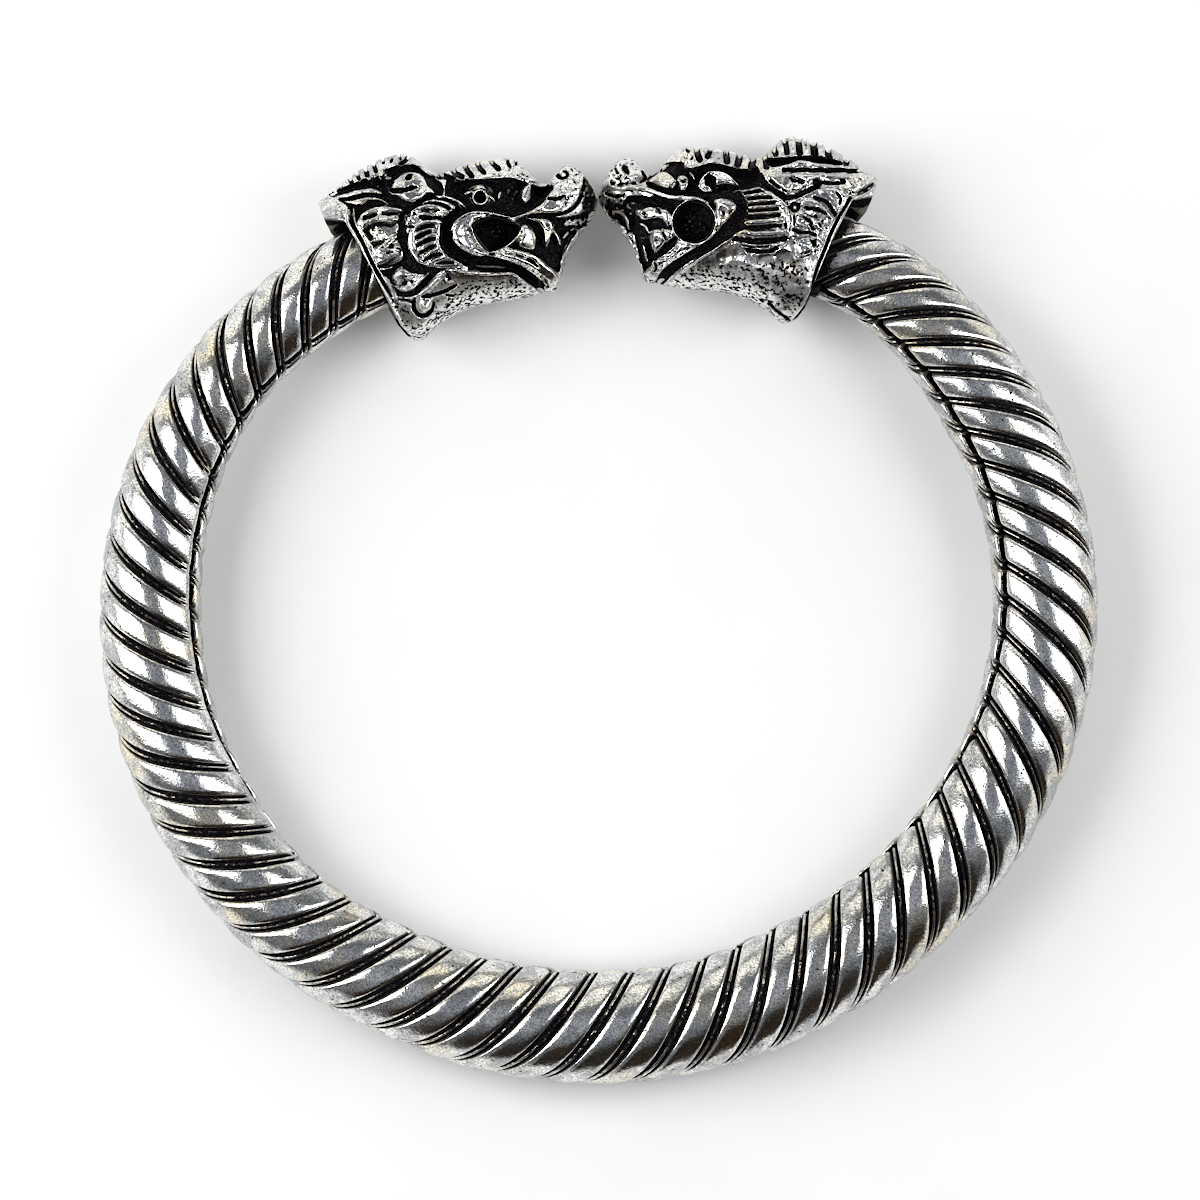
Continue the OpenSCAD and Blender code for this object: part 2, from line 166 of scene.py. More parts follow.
# Rolled band: its centre line clockwise round the ring from the gap.
# angle, radius, share of the way from end to back diameter, seam angle, groove pitch, groove lead,
# the strand's share of the pitch, black left on the thread
BAND = [
    (15, 31.00, 0.00, 146, 5.10, 0.074, 0.72, 0.62),
    (35, 33.20, 0.00, 146, 5.10, 0.074, 0.72, 0.62),
    (45, 34.10, 0.10, 145, 5.10, 0.075, 0.72, 0.62),
    (60, 34.74, 0.46, 141, 5.05, 0.076, 0.73, 0.62),
    (75, 35.30, 0.56, 141, 5.05, 0.076, 0.74, 0.62),
    (90, 35.62, 0.65, 147, 5.13, 0.076, 0.74, 0.62),
    (105, 35.52, 0.74, 154, 5.25, 0.076, 0.74, 0.62),
    (120, 35.06, 0.82, 163, 5.42, 0.076, 0.73, 0.62),
    (135, 34.50, 0.80, 172, 5.55, 0.076, 0.73, 0.62),
    (150, 34.16, 0.93, 180, 5.65, 0.074, 0.725, 0.62),
    (165, 34.22, 0.93, 181, 5.68, 0.073, 0.715, 0.62),
    (180, 34.20, 0.98, 181, 5.63, 0.072, 0.71, 0.62),
    (195, 34.34, 0.92, 181, 5.52, 0.068, 0.715, 0.62),
    (210, 34.74, 0.78, 180, 5.35, 0.064, 0.72, 0.62),
    (225, 35.52, 0.56, 178, 5.15, 0.060, 0.73, 0.62),
    (240, 35.82, 0.57, 170, 4.92, 0.057, 0.73, 0.66),
    (255, 36.08, 0.54, 158, 4.75, 0.056, 0.74, 0.66),
    (270, 35.94, 0.50, 150, 4.68, 0.056, 0.74, 0.66),
    (285, 35.62, 0.27, 148, 4.65, 0.058, 0.74, 0.66),
    (300, 34.82, 0.05, 150, 4.72, 0.060, 0.73, 0.62),
    (315, 33.40, 0.00, 149, 4.90, 0.062, 0.72, 0.62),
    (325, 32.32, 0.00, 148, 5.00, 0.064, 0.72, 0.62),
    (345, 30.00, 0.00, 148, 5.00, 0.064, 0.72, 0.62),
]
RADIUS, FATNESS, SEAM, PITCH, LEAD, STRAND_SHARE, THREAD_BLACK = 1, 2, 3, 4, 5, 6, 7
RING_Y = 0.92
# Angles round the ring at which the tube goes into the heads, and how far it goes in
MOUTH_LEFT = 325.8
MOUTH_RIGHT = 34.2
INSERTED = 8.0
BAND_FROM = MOUTH_RIGHT - INSERTED
BAND_TO = MOUTH_LEFT + INSERTED
# Angles by which the rows start before the tube does, since the grooves slant, and end after it
ROW_LEAD = 34
ROW_TAIL = 2

# One repeat of the surface is a flat strand with rolled edges, then two grooves with a fine thread between.
# Half of the strand's width: share of the width, drop
STRAND_EDGE = [(0.00, 0.300), (0.02, 0.205), (0.06, 0.125), (0.12, 0.060), (0.20, 0.020), (0.31, 0.003)]
# Half of both grooves: share of their width, depth
GROOVE = [(0.05, 0.40), (0.15, 0.47), (0.27, 0.40), (0.38, 0.25)]
# How deep the thread lies, and the depth down to which its sides belong to it
THREAD_DROP = 0.17
THREAD_DEPTH = 0.3
# Angle round the ring from a repeat's start to the middle of its slant
SLANT_MEAN = 20
# How straight the grooves run over the inner half of the tube, and how much faster they wind there
STRAIGHT = 0.8
WIND = 1.17

# Rolled edge of the seam: share of the way round, millimetres from the edge, drop
EDGE_ROUND = [(0.00, 0.34), (0.03, 0.18), (0.10, 0.07), (0.22, 0.015), (0.36, 0.0), (0.50, 0.0)]
OUTER_COLUMNS = 42
INNER_COLUMNS = 8
# Plain rim beside the seam on the left of the ring: its width and the angles where it starts and ends
PLAIN_RIM = (0.65, 1.10)
RIM_STARTS = (215, 238)
RIM_ENDS = (284, 300)
RIM_FLATNESS = 0.85

# Black on the band, from 0 to 1: at a strand's edges, at the seam, beside a head, where it is patina with
# painted shade, and on the rubbed thread
STRAND_EDGE_BLACK = 0.7
SEAM_BLACK = 0.8
HEAD_BLACK_AND_SHADE = 0.9
RUBBED_BLACK = 0.16
# Depth in millimetres over which it comes in, and distance from a head over which it fades
STRAND_EDGE_RUN = (0.19, 0.34)
SEAM_RUN = (0.04, 0.3)
HEAD_SHADE_REACH = 0.6
HEAD_SHADE_FADE = 0.8
# Share of the black that is polished off the plain rim, and depths at which a strand's edge wears bright
RIM_POLISH = 0.9
WORN_RUN = (0.03, 0.12)
# Angles round the tube between which the thread goes from rubbed to dark, from its outer and its inner side
THREAD_OUTER_SIDE = (24, 74)
THREAD_INNER_SIDE = (-158, -98)
# Millimetres along the tube for one degree of the ring
MM_PER_DEGREE = 0.6

# Hand work: how far each repeat strays from its neighbours, and how its sway goes round the tube
GROOVE_WANDER = 0.05
GROOVE_SWAY = 0.07
SWAY_WAVES = 1.5
SWAY_START = 40
GROOVE_GAIN = 0.12
STRAND_HEIGHT = 0.02
# Dents: height and length. The whole surface is set back a little to make room for them
DENTS = ((0.022, 7.0), (0.012, 2.6))
SET_BACK = 0.03


def mirrored(half, middle):
    """Profile whose second half repeats the first one backwards."""
    return np.array(half + middle + [(round(1 - share, 2), depth) for share, depth in reversed(half)])


def centre(angle):
    """Centre line of the tube at an angle in degrees."""
    radius = read(BAND, RADIUS, angle)
    turn = np.radians(angle)
    return np.stack([radius * np.sin(turn), radius * np.cos(turn) + RING_Y], axis=-1)


def outward(angle):
    """Direction in the ring's plane that leads out of the ring."""
    d = centre(angle + 0.5) - centre(angle - 0.5)
    d /= np.linalg.norm(d, axis=-1, keepdims=True)
    return np.stack([-d[..., 1], d[..., 0]], axis=-1)


def tube_r(angle):
    """Radius of the tube at an angle round the ring."""
    return (END_DIA + (BACK_DIA - END_DIA) * read(BAND, FATNESS, angle)) / 2


def on_tube(angle, side, radius):
    """Point at an angle round the ring, side degrees round the tube from its outer side, at a radius."""
    c, n, turn = centre(angle), outward(angle), np.radians(side)
    flat = c + n * (radius * np.cos(turn))[..., None]
    return np.concatenate([flat, (radius * np.sin(turn))[..., None]], axis=-1)


def side_at(angle, share, from_edge):
    """Place round the tube: from the seam's upper edge, over the top and outer side, to its lower edge."""
    half_slit = np.degrees(SLIT_W / tube_r(angle) / 2)
    shift = np.degrees(from_edge / tube_r(angle))
    return read(BAND, SEAM, angle) - half_slit - (360 - 2 * half_slit) * share - shift


def wound(side):
    """How far a groove has run along the ring at a place round the tube: straighter over the inner half."""
    turned = 180 - side
    straight = np.degrees(1 - np.cos(np.radians(np.clip(turned, 0, 90))))
    inner = STRAIGHT * straight + (1 - STRAIGHT) * np.minimum(turned, 90)
    return WIND * (inner + np.maximum(turned - 90, 0))


def tube_columns():
    """Columns of one closed row: share, millimetres from the seam's edge, drop, if it is inside."""
    outer = [(0, e, d, 0) for e, d in EDGE_ROUND]
    outer += [(k / OUTER_COLUMNS, 0, 0, 0) for k in range(1, OUTER_COLUMNS)]
    outer += [(1, -e, d, 0) for e, d in reversed(EDGE_ROUND)]
    inner = [(1 - k / INNER_COLUMNS, 0, WALL, 1) for k in range(INNER_COLUMNS + 1)]
    return np.array(outer + inner, float)


def repeat_starts():
    """Angles along the tube at which one repeat of strand and grooves starts."""
    starts = [BAND_FROM - ROW_LEAD]
    while starts[-1] < BAND_TO + ROW_TAIL:
        starts.append(starts[-1] + float(read(BAND, PITCH, starts[-1])))
    return np.array(starts)


def band_rows(starts):
    """Rows across the tube: angle along it, depth, whether they are on the strand, and their repeat."""
    strand = mirrored(STRAND_EDGE, [(0.5, 0.0)])
    grooves = mirrored(GROOVE, [(0.5, THREAD_DROP)])
    pitch = read(BAND, PITCH, starts)[:, None]
    strand_to = read(BAND, STRAND_SHARE, np.clip(starts + SLANT_MEAN, BAND_FROM, BAND_TO))[:, None]
    along = np.hstack([strand[:, 0] * strand_to, strand_to + grooves[:, 0] * (1 - strand_to)])
    base = (starts[:, None] + along * pitch).ravel()[:, None]
    depth = np.tile(np.concatenate([strand[:, 1], grooves[:, 1]]), len(starts))[:, None]
    is_strand = np.tile(np.arange(along.shape[1]) < len(strand), len(starts))[:, None]
    repeat = np.repeat(np.arange(len(starts)), along.shape[1])
    return base, depth, is_strand, repeat


def band_patina_and_shade(ring, side, depth, is_strand, at_rim, drop, is_inner):
    """Black in both grooves. The thread is dark on top of the tube, and rubbed bright at its two sides.
    Beside a head, black patina with painted shade.
    """
    rubbed = 1 - ramp(side, *THREAD_OUTER_SIDE) * ramp(-side, *THREAD_INNER_SIDE)
    thread = read(BAND, THREAD_BLACK, ring)
    patina_and_shade = np.where(is_strand, STRAND_EDGE_BLACK * ramp(depth, *STRAND_EDGE_RUN), 1.0)
    is_thread = ~is_strand & (depth < THREAD_DEPTH)
    patina_and_shade = np.where(is_thread, thread - (thread - RUBBED_BLACK) * rubbed, patina_and_shade)
    patina_and_shade = patina_and_shade * (1 - RIM_POLISH * at_rim)
    patina_and_shade = np.clip(patina_and_shade + SEAM_BLACK * ramp(drop, *SEAM_RUN), 0, 1)
    patina_and_shade = np.where(is_inner > 0, 1.0, patina_and_shade)
    # Near the heads nothing could be polished, and the black there is also painted shade where the band
    # goes into the head
    mm_to_head = np.minimum(ring - MOUTH_RIGHT, MOUTH_LEFT - ring) * MM_PER_DEGREE
    return np.maximum(patina_and_shade, HEAD_BLACK_AND_SHADE * ramp(HEAD_SHADE_REACH - mm_to_head, 0.0, HEAD_SHADE_FADE))


def build_band():
    """The whole tube: rows that follow the slanted grooves, each a closed column list round the wall."""
    columns = tube_columns()
    share, from_edge, drop, is_inner = (columns[:, k] for k in range(4))
    starts = repeat_starts()
    base, depth, is_strand, repeat = band_rows(starts)

    def stray(spread):
        return rng.normal(0, spread, len(starts))[repeat][:, None]

    along = base * np.ones(len(columns))
    slanted = along + read(BAND, LEAD, along) * wound(side_at(along, share, from_edge))
    side = side_at(slanted, share, from_edge)
    ring = along + read(BAND, LEAD, along) * wound(side)
    # Each repeat was cut by hand: its grooves wander a little, and its strand stands a little high or low
    sway = np.sin(np.radians(side * SWAY_WAVES + SWAY_START))
    ring = ring + stray(GROOVE_WANDER) + stray(GROOVE_SWAY) * sway
    beyond = (ring < BAND_FROM) | (ring > BAND_TO)
    ring = np.clip(ring, BAND_FROM, BAND_TO)
    side = side_at(ring, share, from_edge)
    cut = depth * np.where(is_strand, 1, 1 + stray(GROOVE_GAIN))
    # On the left of the ring the grooves end short of the seam, at a plain rim
    from_seam = from_edge + share * 2 * np.pi * tube_r(ring)
    on_left = ramp(ring, *RIM_STARTS) * (1 - ramp(ring, *RIM_ENDS))
    at_rim = (1 - is_inner) * (1 - ramp(from_seam, *PLAIN_RIM)) * on_left
    cut = cut * (1 - RIM_FLATNESS * at_rim)
    height = stray(STRAND_HEIGHT)
    nominal = on_tube(ring, side, tube_r(ring))
    dents = sum(size * ripples(nominal, length) for size, length in DENTS)
    radius = tube_r(ring) - cut - drop + (height + dents - SET_BACK)
    radius = np.where(is_inner > 0, tube_r(ring) - WALL, radius)
    points = on_tube(ring, side, radius).reshape(-1, 3)
    patina_and_shade = band_patina_and_shade(ring, side, depth, is_strand, at_rim, drop, is_inner)
    wear = ramp(depth * np.ones_like(ring), *WORN_RUN) * is_strand

    rows, n = ring.shape
    corner = np.arange(rows * n).reshape(rows, n)
    right = np.roll(corner, -1, axis=1)
    quads = np.stack([corner[:-1], right[:-1], right[1:], corner[1:]], axis=-1)
    quads = quads[~beyond.reshape(-1)[quads].all(axis=-1)]
    used = np.unique(quads)
    number = np.full(rows * n, -1)
    number[used] = np.arange(len(used))
    band = make_mesh("rolled_band", place(points[used]), number[quads])
    # Black patina, with painted shade beside the heads
    add_field(band.data, "patina_and_shade", patina_and_shade.reshape(-1)[used])
    add_field(band.data, "wear", wear.reshape(-1)[used])
    close_up(band.data)
    return band


# Dragon head, in its own frame: u runs along it to the nose, v up to the crown, w across it.
# along, crown, chin, half width as a share, height of the widest line
HEAD = [
    (-3.5, 5.5, -7.0, 0.62, 0.6),
    (-1.6, 7.0, -7.0, 0.84, 0.6),
    (0.1, 8.2, -7.0, 0.90, 0.6),
    (2.0, 9.1, -6.6, 0.94, 0.8),
    (3.8, 9.3, -5.8, 0.97, 1.0),
    (5.0, 8.3, -5.6, 0.99, 1.2),
    (6.2, 7.7, -4.5, 1.00, 1.4),
    (8.3, 8.4, -3.3, 0.97, 2.0),
    (10.6, 8.8, -2.7, 0.89, 2.6),
    (12.3, 8.8, -2.5, 0.79, 3.0),
    (13.5, 7.8, -2.2, 0.71, 3.2),
    (14.7, 6.8, -1.9, 0.63, 3.4),
    (15.8, 7.9, -1.3, 0.56, 3.8),
    (16.5, 8.3, 1.0, 0.52, 5.0),
    (17.6, 7.8, 2.8, 0.43, 5.4),
    (18.5, 6.5, 3.9, 0.26, 5.3),
    (18.9, 5.6, 4.8, 0.08, 5.2),
]
CROWN, CHIN, HALF_W, WIDEST = 1, 2, 3, 4
# Roundness of the section, and the least slope that the field is divided by
SECTION_POWER = 2.5
LEAST_SLOPE = 0.12
NOSE_TIP = 18.95
HEAD_BACK = -3.6
# Half width of the strip in which the reliefs of both sides meet
SIDES_MEET = 0.7
# Valley between the two crests: along, depth, half width
VALLEY = [
    (-4.5, 3.0, 2.6),
    (0.3, 2.8, 2.6),
    (3.4, 2.4, 2.4),
    (5.4, 0.9, 1.2),
    (9.4, 1.1, 1.5),
    (12.8, 1.1, 1.5),
    (14.9, 0.1, 0.6),
]
# Line behind which the casting ends, on the cheek that shows and on the one below
COLLAR_CUT = [
    (-3.3, 5.2), (-2.8, 4.0), (-1.1, 3.7), (0.8, 0.4), (2.45, -2.9), (3.3, -4.5), (3.9, -5.2), (4.6, -5.75),
    (4.8, -9), (-9, -9), (-9, 5.2)]
COLLAR_CUT_BELOW = [
    (-3.3, 5.2), (-2.9, 3.9), (-2.4, 2.9), (0.2, 0.1), (2.1, -3.0), (3.0, -4.5), (3.7, -5.3), (4.4, -5.8),
    (4.6, -9), (-9, -9), (-9, 5.2)]
# Distances below the ring's plane between which the one line goes over into the other
COLLAR_CHANGE = (0.8, 1.8)
# Socket: how wide it opens towards the tube, and over which millimetres
SOCKET_FLARE = 0.72
FLARE_RUN = (-2.6, -0.2)
# Its line in degrees from the mouth, the steps along it, its length beyond the tube, and the ring's radius
SOCKET_LINE = (-12, INSERTED + 1.0)
SOCKET_STEPS = 80
SOCKET_SPARE = 0.6
SOCKET_RING = 33
# The right head is the same casting turned over
HEADS = {
    "left": {"at": (-19.14, 27.36), "turn": 0.0, "way": 1, "mouth": MOUTH_LEFT},
    "right": {"at": (19.13, 28.97), "turn": 3.5, "way": -1, "mouth": MOUTH_RIGHT},
}
HEAD_TRIANGLES = 192000

# Grid in which a head is worked, and the level from which a raised stroke's round shoulder starts
STEP = 0.095
FOOT = -0.6
us = np.arange(-4.4, 19.6, STEP)
vs = np.arange(-8.0, 10.3, STEP)
ws = np.arange(-6.7, 6.7 + STEP, STEP)
U, V = np.meshgrid(us, vs, indexing="ij")
GRID_CORNER = np.array([us[0], vs[0], ws[0]])

# Relief of side A, in the order in which it is worked. Sink and hole lower what an outline holds, and plate
# raises it. Ridge, rib, ring and ball stand up, and slit, carve, comb and pit are cut in. Rough and specks
# are speckle, stain is black alone (in the collar's mouth painted shade over patina), and edge brings sunk
# ground back up by the outline.
# form, level in millimetres from the plain surface, width, then the stroke's points: along the head, up
SIDE_A = [
    ("sink", -0.5, 0.24, -0.3, 3.7, -0.6, 4.5, -1.5, 5.3, -2.6, 5.9, -1.0, 6.6, 0.5, 7.2, 1.5, 7.7,
     3.0, 8.2, 4.2, 8.3, 5.5, 8.2, 6.2, 8.2, 7.0, 7.2, 9.0, 7.1, 12.0, 7.2, 13.2, 6.9, 14.4, 6.6, 15.1, 7.1,
     15.5, 6.5, 15.2, 5.4, 15.6, 4.2, 17.0, 4.3, 17.9, 4.6, 18.3, 4.0, 17.6, 2.7, 16.9, 2.2, 16.3, 0.6,
     15.9, -0.4, 15.5, -1.6, 14.4, -2.0, 13.9, -1.4, 12.6, -0.4, 9.0, -0.25, 7.6, -0.15, 6.6, -0.3,
     5.9, -0.9, 5.2, -1.7, 4.3, -2.3, 3.1, -2.3, 2.4, -1.3, 1.5, 0.0, 0.9, 1.2, 0.2, 2.7),
    ("sink", -1.2, 0.5, -2.4, 5.9, -1.3, 6.35, -0.3, 6.8, 0.8, 7.25, 1.8, 7.6, 3.0, 8.0, 4.0, 8.15,
     5.4, 8.0, 5.7, 7.6, 5.0, 7.8, 4.2, 7.95, 3.2, 7.75, 2.5, 7.1, 2.3, 6.6, 1.9, 6.35, 0.5, 6.5,
     -1.0, 6.2),
    ("edge", 0.25, 0.8),
    ("rib", 0.75, 0.5, 0.8, 6.95, 1.7, 7.25, 2.5, 7.15),
    ("specks", 0.5, 1.0, 1.7, 7.15),
    ("comb", -0.42, 0.13, -2.4, 7.3, -2.15, 6.6, -1.95, 6.2),
    ("comb", -0.42, 0.12, -1.75, 7.3, -1.45, 6.4),
    ("comb", -0.42, 0.15, -0.95, 8.0, -0.75, 7.2, -0.5, 6.6),
    ("comb", -0.42, 0.13, -0.45, 8.3, -0.2, 7.5, 0.0, 7.1),
    ("comb", -0.42, 0.17, 0.15, 8.8, 0.45, 8.0, 0.65, 7.4),
    ("comb", -0.42, 0.15, 0.95, 9.2, 1.1, 8.4, 1.35, 7.7),
    ("slit", 0.35, 0.12, 1.75, 8.9, 1.95, 8.3),
    ("slit", 0.35, 0.12, 2.6, 8.7, 2.5, 8.4),
    ("slit", 0.4, 0.11, 3.0, 9.2, 3.35, 8.6),
    ("comb", -0.42, 0.16, 4.1, 9.2, 3.7, 8.6, 3.3, 8.3),
    ("ridge", 0.15, 0.32, 4.25, 8.35, 4.95, 8.3),
    ("plate", 0.26, 0.26, -2.0, 5.65, -1.0, 6.05, 0.2, 6.35, 1.2, 6.4, 1.9, 6.05, 1.85, 5.75, 1.0, 5.88,
     0.0, 5.75, -1.0, 5.5),
    ("plate", 0.3, 0.3, -1.2, 5.3, -0.5, 5.5, 0.5, 5.72, 1.4, 5.68, 2.0, 5.42, 2.4, 5.05, 1.6, 5.3,
     0.9, 5.28, 0.5, 4.98, -0.3, 4.88),
    ("plate", 0.45, 0.42, 2.6, 6.8, 3.0, 7.25, 3.6, 7.65, 4.4, 7.75, 5.0, 7.45, 5.4, 6.9, 5.6, 6.5,
     6.05, 6.2, 6.1, 5.85, 5.5, 5.75, 5.0, 5.4, 4.3, 5.05, 3.6, 5.25, 3.0, 5.55, 2.4, 5.85),
    ("carve", -0.55, 0.17, 2.3, 6.3, 2.9, 6.1, 3.6, 6.15, 4.1, 6.3, 4.6, 6.42),
    ("carve", -0.5, 0.2, 4.15, 7.38, 3.8, 7.02),
    ("slit", 0.1, 0.4, 3.3, 7.0),
    ("slit", 0.12, 0.45, 5.0, 6.3, 4.8, 5.8),
    ("plate", 0.34, 0.26, 5.85, 7.35, 6.3, 7.1, 6.95, 7.15, 7.1, 6.75, 6.95, 6.2, 6.95, 5.7, 6.55, 5.6,
     6.65, 6.2, 6.3, 6.75),
    ("plate", 0.38, 0.5, -0.15, 3.7, -0.05, 4.2, 0.4, 4.66, 1.2, 4.95, 2.3, 5.06, 3.3, 4.9, 3.7, 4.5,
     3.3, 4.25, 3.3, 3.7, 2.6, 3.35, 1.8, 3.5, 1.0, 3.3, 0.5, 2.95, 0.15, 3.2),
    ("slit", 0.6, 0.13, 0.35, 3.9, 0.9, 4.05, 1.5, 4.28),
    ("slit", 0.35, 0.14, 1.9, 4.3, 2.5, 4.28, 3.2, 4.32),
    ("rib", 0.12, 0.25, 0.2, 4.2, 1.2, 4.65, 2.4, 4.75, 3.3, 4.6),
    ("rib", 0.12, 0.22, 0.5, 3.5, 1.5, 3.75, 2.3, 3.85, 3.1, 3.75),
    ("plate", -0.12, 0.35, 0.45, 3.1, 1.0, 3.5, 2.0, 3.7, 3.1, 3.7, 3.3, 3.2, 3.15, 2.6, 3.4, 1.9, 3.7, 1.1,
     3.4, 0.5, 2.6, 0.1, 1.7, -0.1, 1.3, 0.4, 1.0, 1.3, 0.7, 2.2),
    ("specks", 0.5, 0.85, 1.4, 2.7),
    ("ridge", 0.3, 0.22, -0.02, 3.8, 0.25, 3.0, 0.7, 2.3, 1.05, 1.7, 1.3, 1.1),
    ("plate", 0.36, 0.42, 0.95, 1.3, 1.3, 1.75, 1.9, 2.05, 2.5, 2.55, 3.1, 2.7, 3.2, 2.3, 2.75, 1.9,
     2.45, 1.65, 2.95, 1.75, 3.4, 1.5, 3.35, 1.1, 2.8, 0.65, 2.3, 0.3, 1.6, 0.12, 1.15, 0.5),
    ("slit", 0.35, 0.12, 1.8, 1.55, 2.3, 1.9, 2.8, 2.3),
    ("slit", 0.3, 0.12, 2.2, 1.15, 2.8, 1.3, 3.1, 1.2),
    ("rib", 0.12, 0.35, 1.9, 1.0),
    ("slit", 0.15, 0.3, 1.4, 0.7),
    ("ridge", 0.12, 0.12, 1.4, 0.05, 2.0, -0.08, 2.7, 0.05),
    ("ridge", 0.1, 0.27, 1.75, -0.35, 2.25, -0.95, 2.75, -1.7, 2.95, -2.5),
    ("plate", 0.42, 0.75, 2.55, -0.7, 2.9, -0.1, 3.5, 0.25, 4.0, 0.0, 4.6, -0.3, 5.6, -0.38, 5.05, -1.0,
     4.4, -1.6, 3.8, -1.85, 3.1, -1.6, 2.7, -1.2),
    ("rib", 0.16, 0.6, 3.35, -0.25),
    ("slit", 0.34, 0.36, 4.5, -0.65, 4.0, -1.05, 3.5, -1.25),
    ("ridge", 0.42, 0.13, 2.85, -1.4, 3.5, -1.78, 4.3, -1.62, 4.95, -1.0, 5.6, -0.4),
    ("plate", 0.1, 0.3, 3.55, 3.9, 3.6, 4.3, 4.3, 4.4, 5.2, 3.95, 6.2, 3.95, 6.95, 3.6, 6.75, 2.9, 6.6, 2.2,
     6.75, 1.6, 7.2, 1.05, 8.3, 0.45, 9.1, 0.08, 8.0, -0.12, 6.6, -0.1, 5.4, -0.02, 4.6, 0.4, 4.05, 1.2,
     3.8, 2.2, 3.65, 3.2),
    ("ridge", 0.44, 0.44, 3.95, 3.95, 4.2, 3.75),
    ("slit", 0.4, 0.12, 3.6, 3.2, 4.1, 3.3, 4.5, 3.15),
    ("ridge", 0.42, 0.34, 4.15, 2.95, 4.1, 2.1, 4.3, 1.3, 4.8, 0.65, 5.4, 0.25),
    ("rib", 0.32, 0.26, 4.5, 3.2, 5.3, 3.6, 6.1, 3.7, 6.8, 3.45),
    ("rib", 0.3, 0.25, 6.4, 3.3, 6.35, 2.7, 6.3, 2.0, 6.65, 1.3, 7.4, 0.72, 8.4, 0.25),
    ("rib", 0.26, 0.24, 4.65, 2.65, 5.3, 2.95, 6.0, 3.1),
    ("rib", 0.26, 0.24, 4.75, 2.05, 5.4, 2.4, 6.1, 2.65),
    ("rib", 0.26, 0.24, 4.95, 1.45, 5.6, 1.85, 6.2, 2.1),
    ("rib", 0.26, 0.22, 5.25, 0.9, 5.9, 1.3, 6.4, 1.5),
    ("rib", 0.22, 0.2, 5.8, 0.45, 6.5, 0.75, 7.1, 0.75),
    ("slit", 0.55, 0.13, 4.5, 2.3, 5.1, 2.68, 5.8, 2.9),
    ("slit", 0.55, 0.13, 4.6, 1.7, 5.2, 2.08, 5.9, 2.38),
    ("slit", 0.55, 0.13, 4.85, 1.12, 5.5, 1.55, 6.1, 1.82),
    ("slit", 0.5, 0.13, 5.2, 0.55, 5.9, 0.98, 6.6, 1.12),
    ("slit", 0.45, 0.12, 4.5, 2.9, 5.2, 3.28, 6.0, 3.38),
    ("slit", 0.3, 0.11, 6.1, 0.32, 7.0, 0.42, 7.8, 0.35),
    ("plate", 0.0, 0.25, 4.0, 4.35, 4.5, 4.95, 5.5, 5.45, 6.2, 5.75, 7.2, 5.72, 8.3, 5.3, 8.6, 4.7,
     7.9, 4.6, 7.3, 4.0, 6.9, 3.85, 5.9, 3.98, 5.0, 4.1),
    ("rib", 0.36, 0.24, 4.2, 4.45, 5.0, 4.8, 5.9, 4.9, 6.8, 4.65, 7.3, 4.15),
    ("rib", 0.34, 0.21, 4.6, 4.15, 5.2, 4.3, 5.9, 4.1),
    ("rib", 0.26, 0.24, 6.3, 4.4, 6.9, 4.15),
    ("rib", 0.34, 0.22, 5.1, 5.15, 6.2, 5.35, 7.1, 5.1, 7.85, 4.5),
    ("rib", 0.32, 0.17, 6.1, 5.7, 7.1, 5.62, 7.9, 5.3, 8.5, 4.75),
    ("slit", 0.4, 0.11, 4.7, 5.0, 5.6, 5.15, 6.5, 5.02, 7.3, 4.6),
    ("slit", 0.4, 0.11, 5.8, 5.5, 6.8, 5.42, 7.6, 5.1, 8.1, 4.65),
    ("comb", -0.48, 0.22, 6.15, 8.3, 6.25, 7.8, 6.7, 7.35, 7.5, 7.1),
    ("comb", -0.48, 0.22, 7.3, 8.9, 7.35, 8.1, 7.65, 7.55, 8.2, 7.25),
    ("comb", -0.48, 0.2, 8.3, 9.2, 8.45, 8.1, 8.95, 7.3),
    ("comb", -0.48, 0.18, 9.3, 9.3, 9.45, 8.2, 9.95, 7.6),
    ("comb", -0.48, 0.18, 10.35, 9.4, 10.5, 8.5, 11.1, 7.9),
    ("comb", -0.36, 0.11, 11.75, 9.2, 11.82, 8.4, 12.0, 8.05),
    ("comb", -0.36, 0.1, 12.35, 9.0, 12.45, 8.3),
    ("slit", 0.2, 0.5, 9.3, 7.5),
    ("slit", 0.2, 0.35, 8.2, 8.0, 8.35, 7.7),
    ("rough", 0.06, 1.5, 12.0, 7.9),
    ("rough", 0.08, 1.2, 13.7, 7.4),
    ("sink", -0.95, 0.42, 7.1, 6.5, 7.7, 6.95, 9.0, 7.1, 10.5, 7.0, 11.3, 6.9, 12.2, 7.2, 12.9, 6.95,
     13.8, 6.7, 14.5, 6.4, 15.1, 6.95, 15.15, 6.3, 14.7, 5.7, 13.9, 5.0, 13.0, 4.5, 12.0, 4.35, 10.9, 4.5,
     9.6, 4.8, 8.5, 5.1, 7.6, 5.5),
    ("specks", 0.7, 0.85, 12.1, 6.0),
    ("ball", -0.3, 1.15, 9.65, 5.6),
    ("ring", 0.12, 0.16, 9.65, 5.6, 0.56),
    ("ridge", 0.0, 0.17, 8.4, 5.85, 8.9, 6.05, 9.25, 6.0),
    ("ridge", 0.0, 0.17, 10.1, 5.8, 10.5, 5.62, 10.8, 5.3),
    ("pit", -1.1, 0.4, 9.65, 5.6),
    ("ridge", 0.42, 0.52, 13.2, 5.3, 13.3, 6.0, 13.5, 6.5),
    ("ridge", -0.1, 0.19, 11.1, 5.5, 11.25, 6.05),
    ("ridge", 0.22, 0.2, 12.6, 7.5, 13.4, 7.08, 14.3, 6.92),
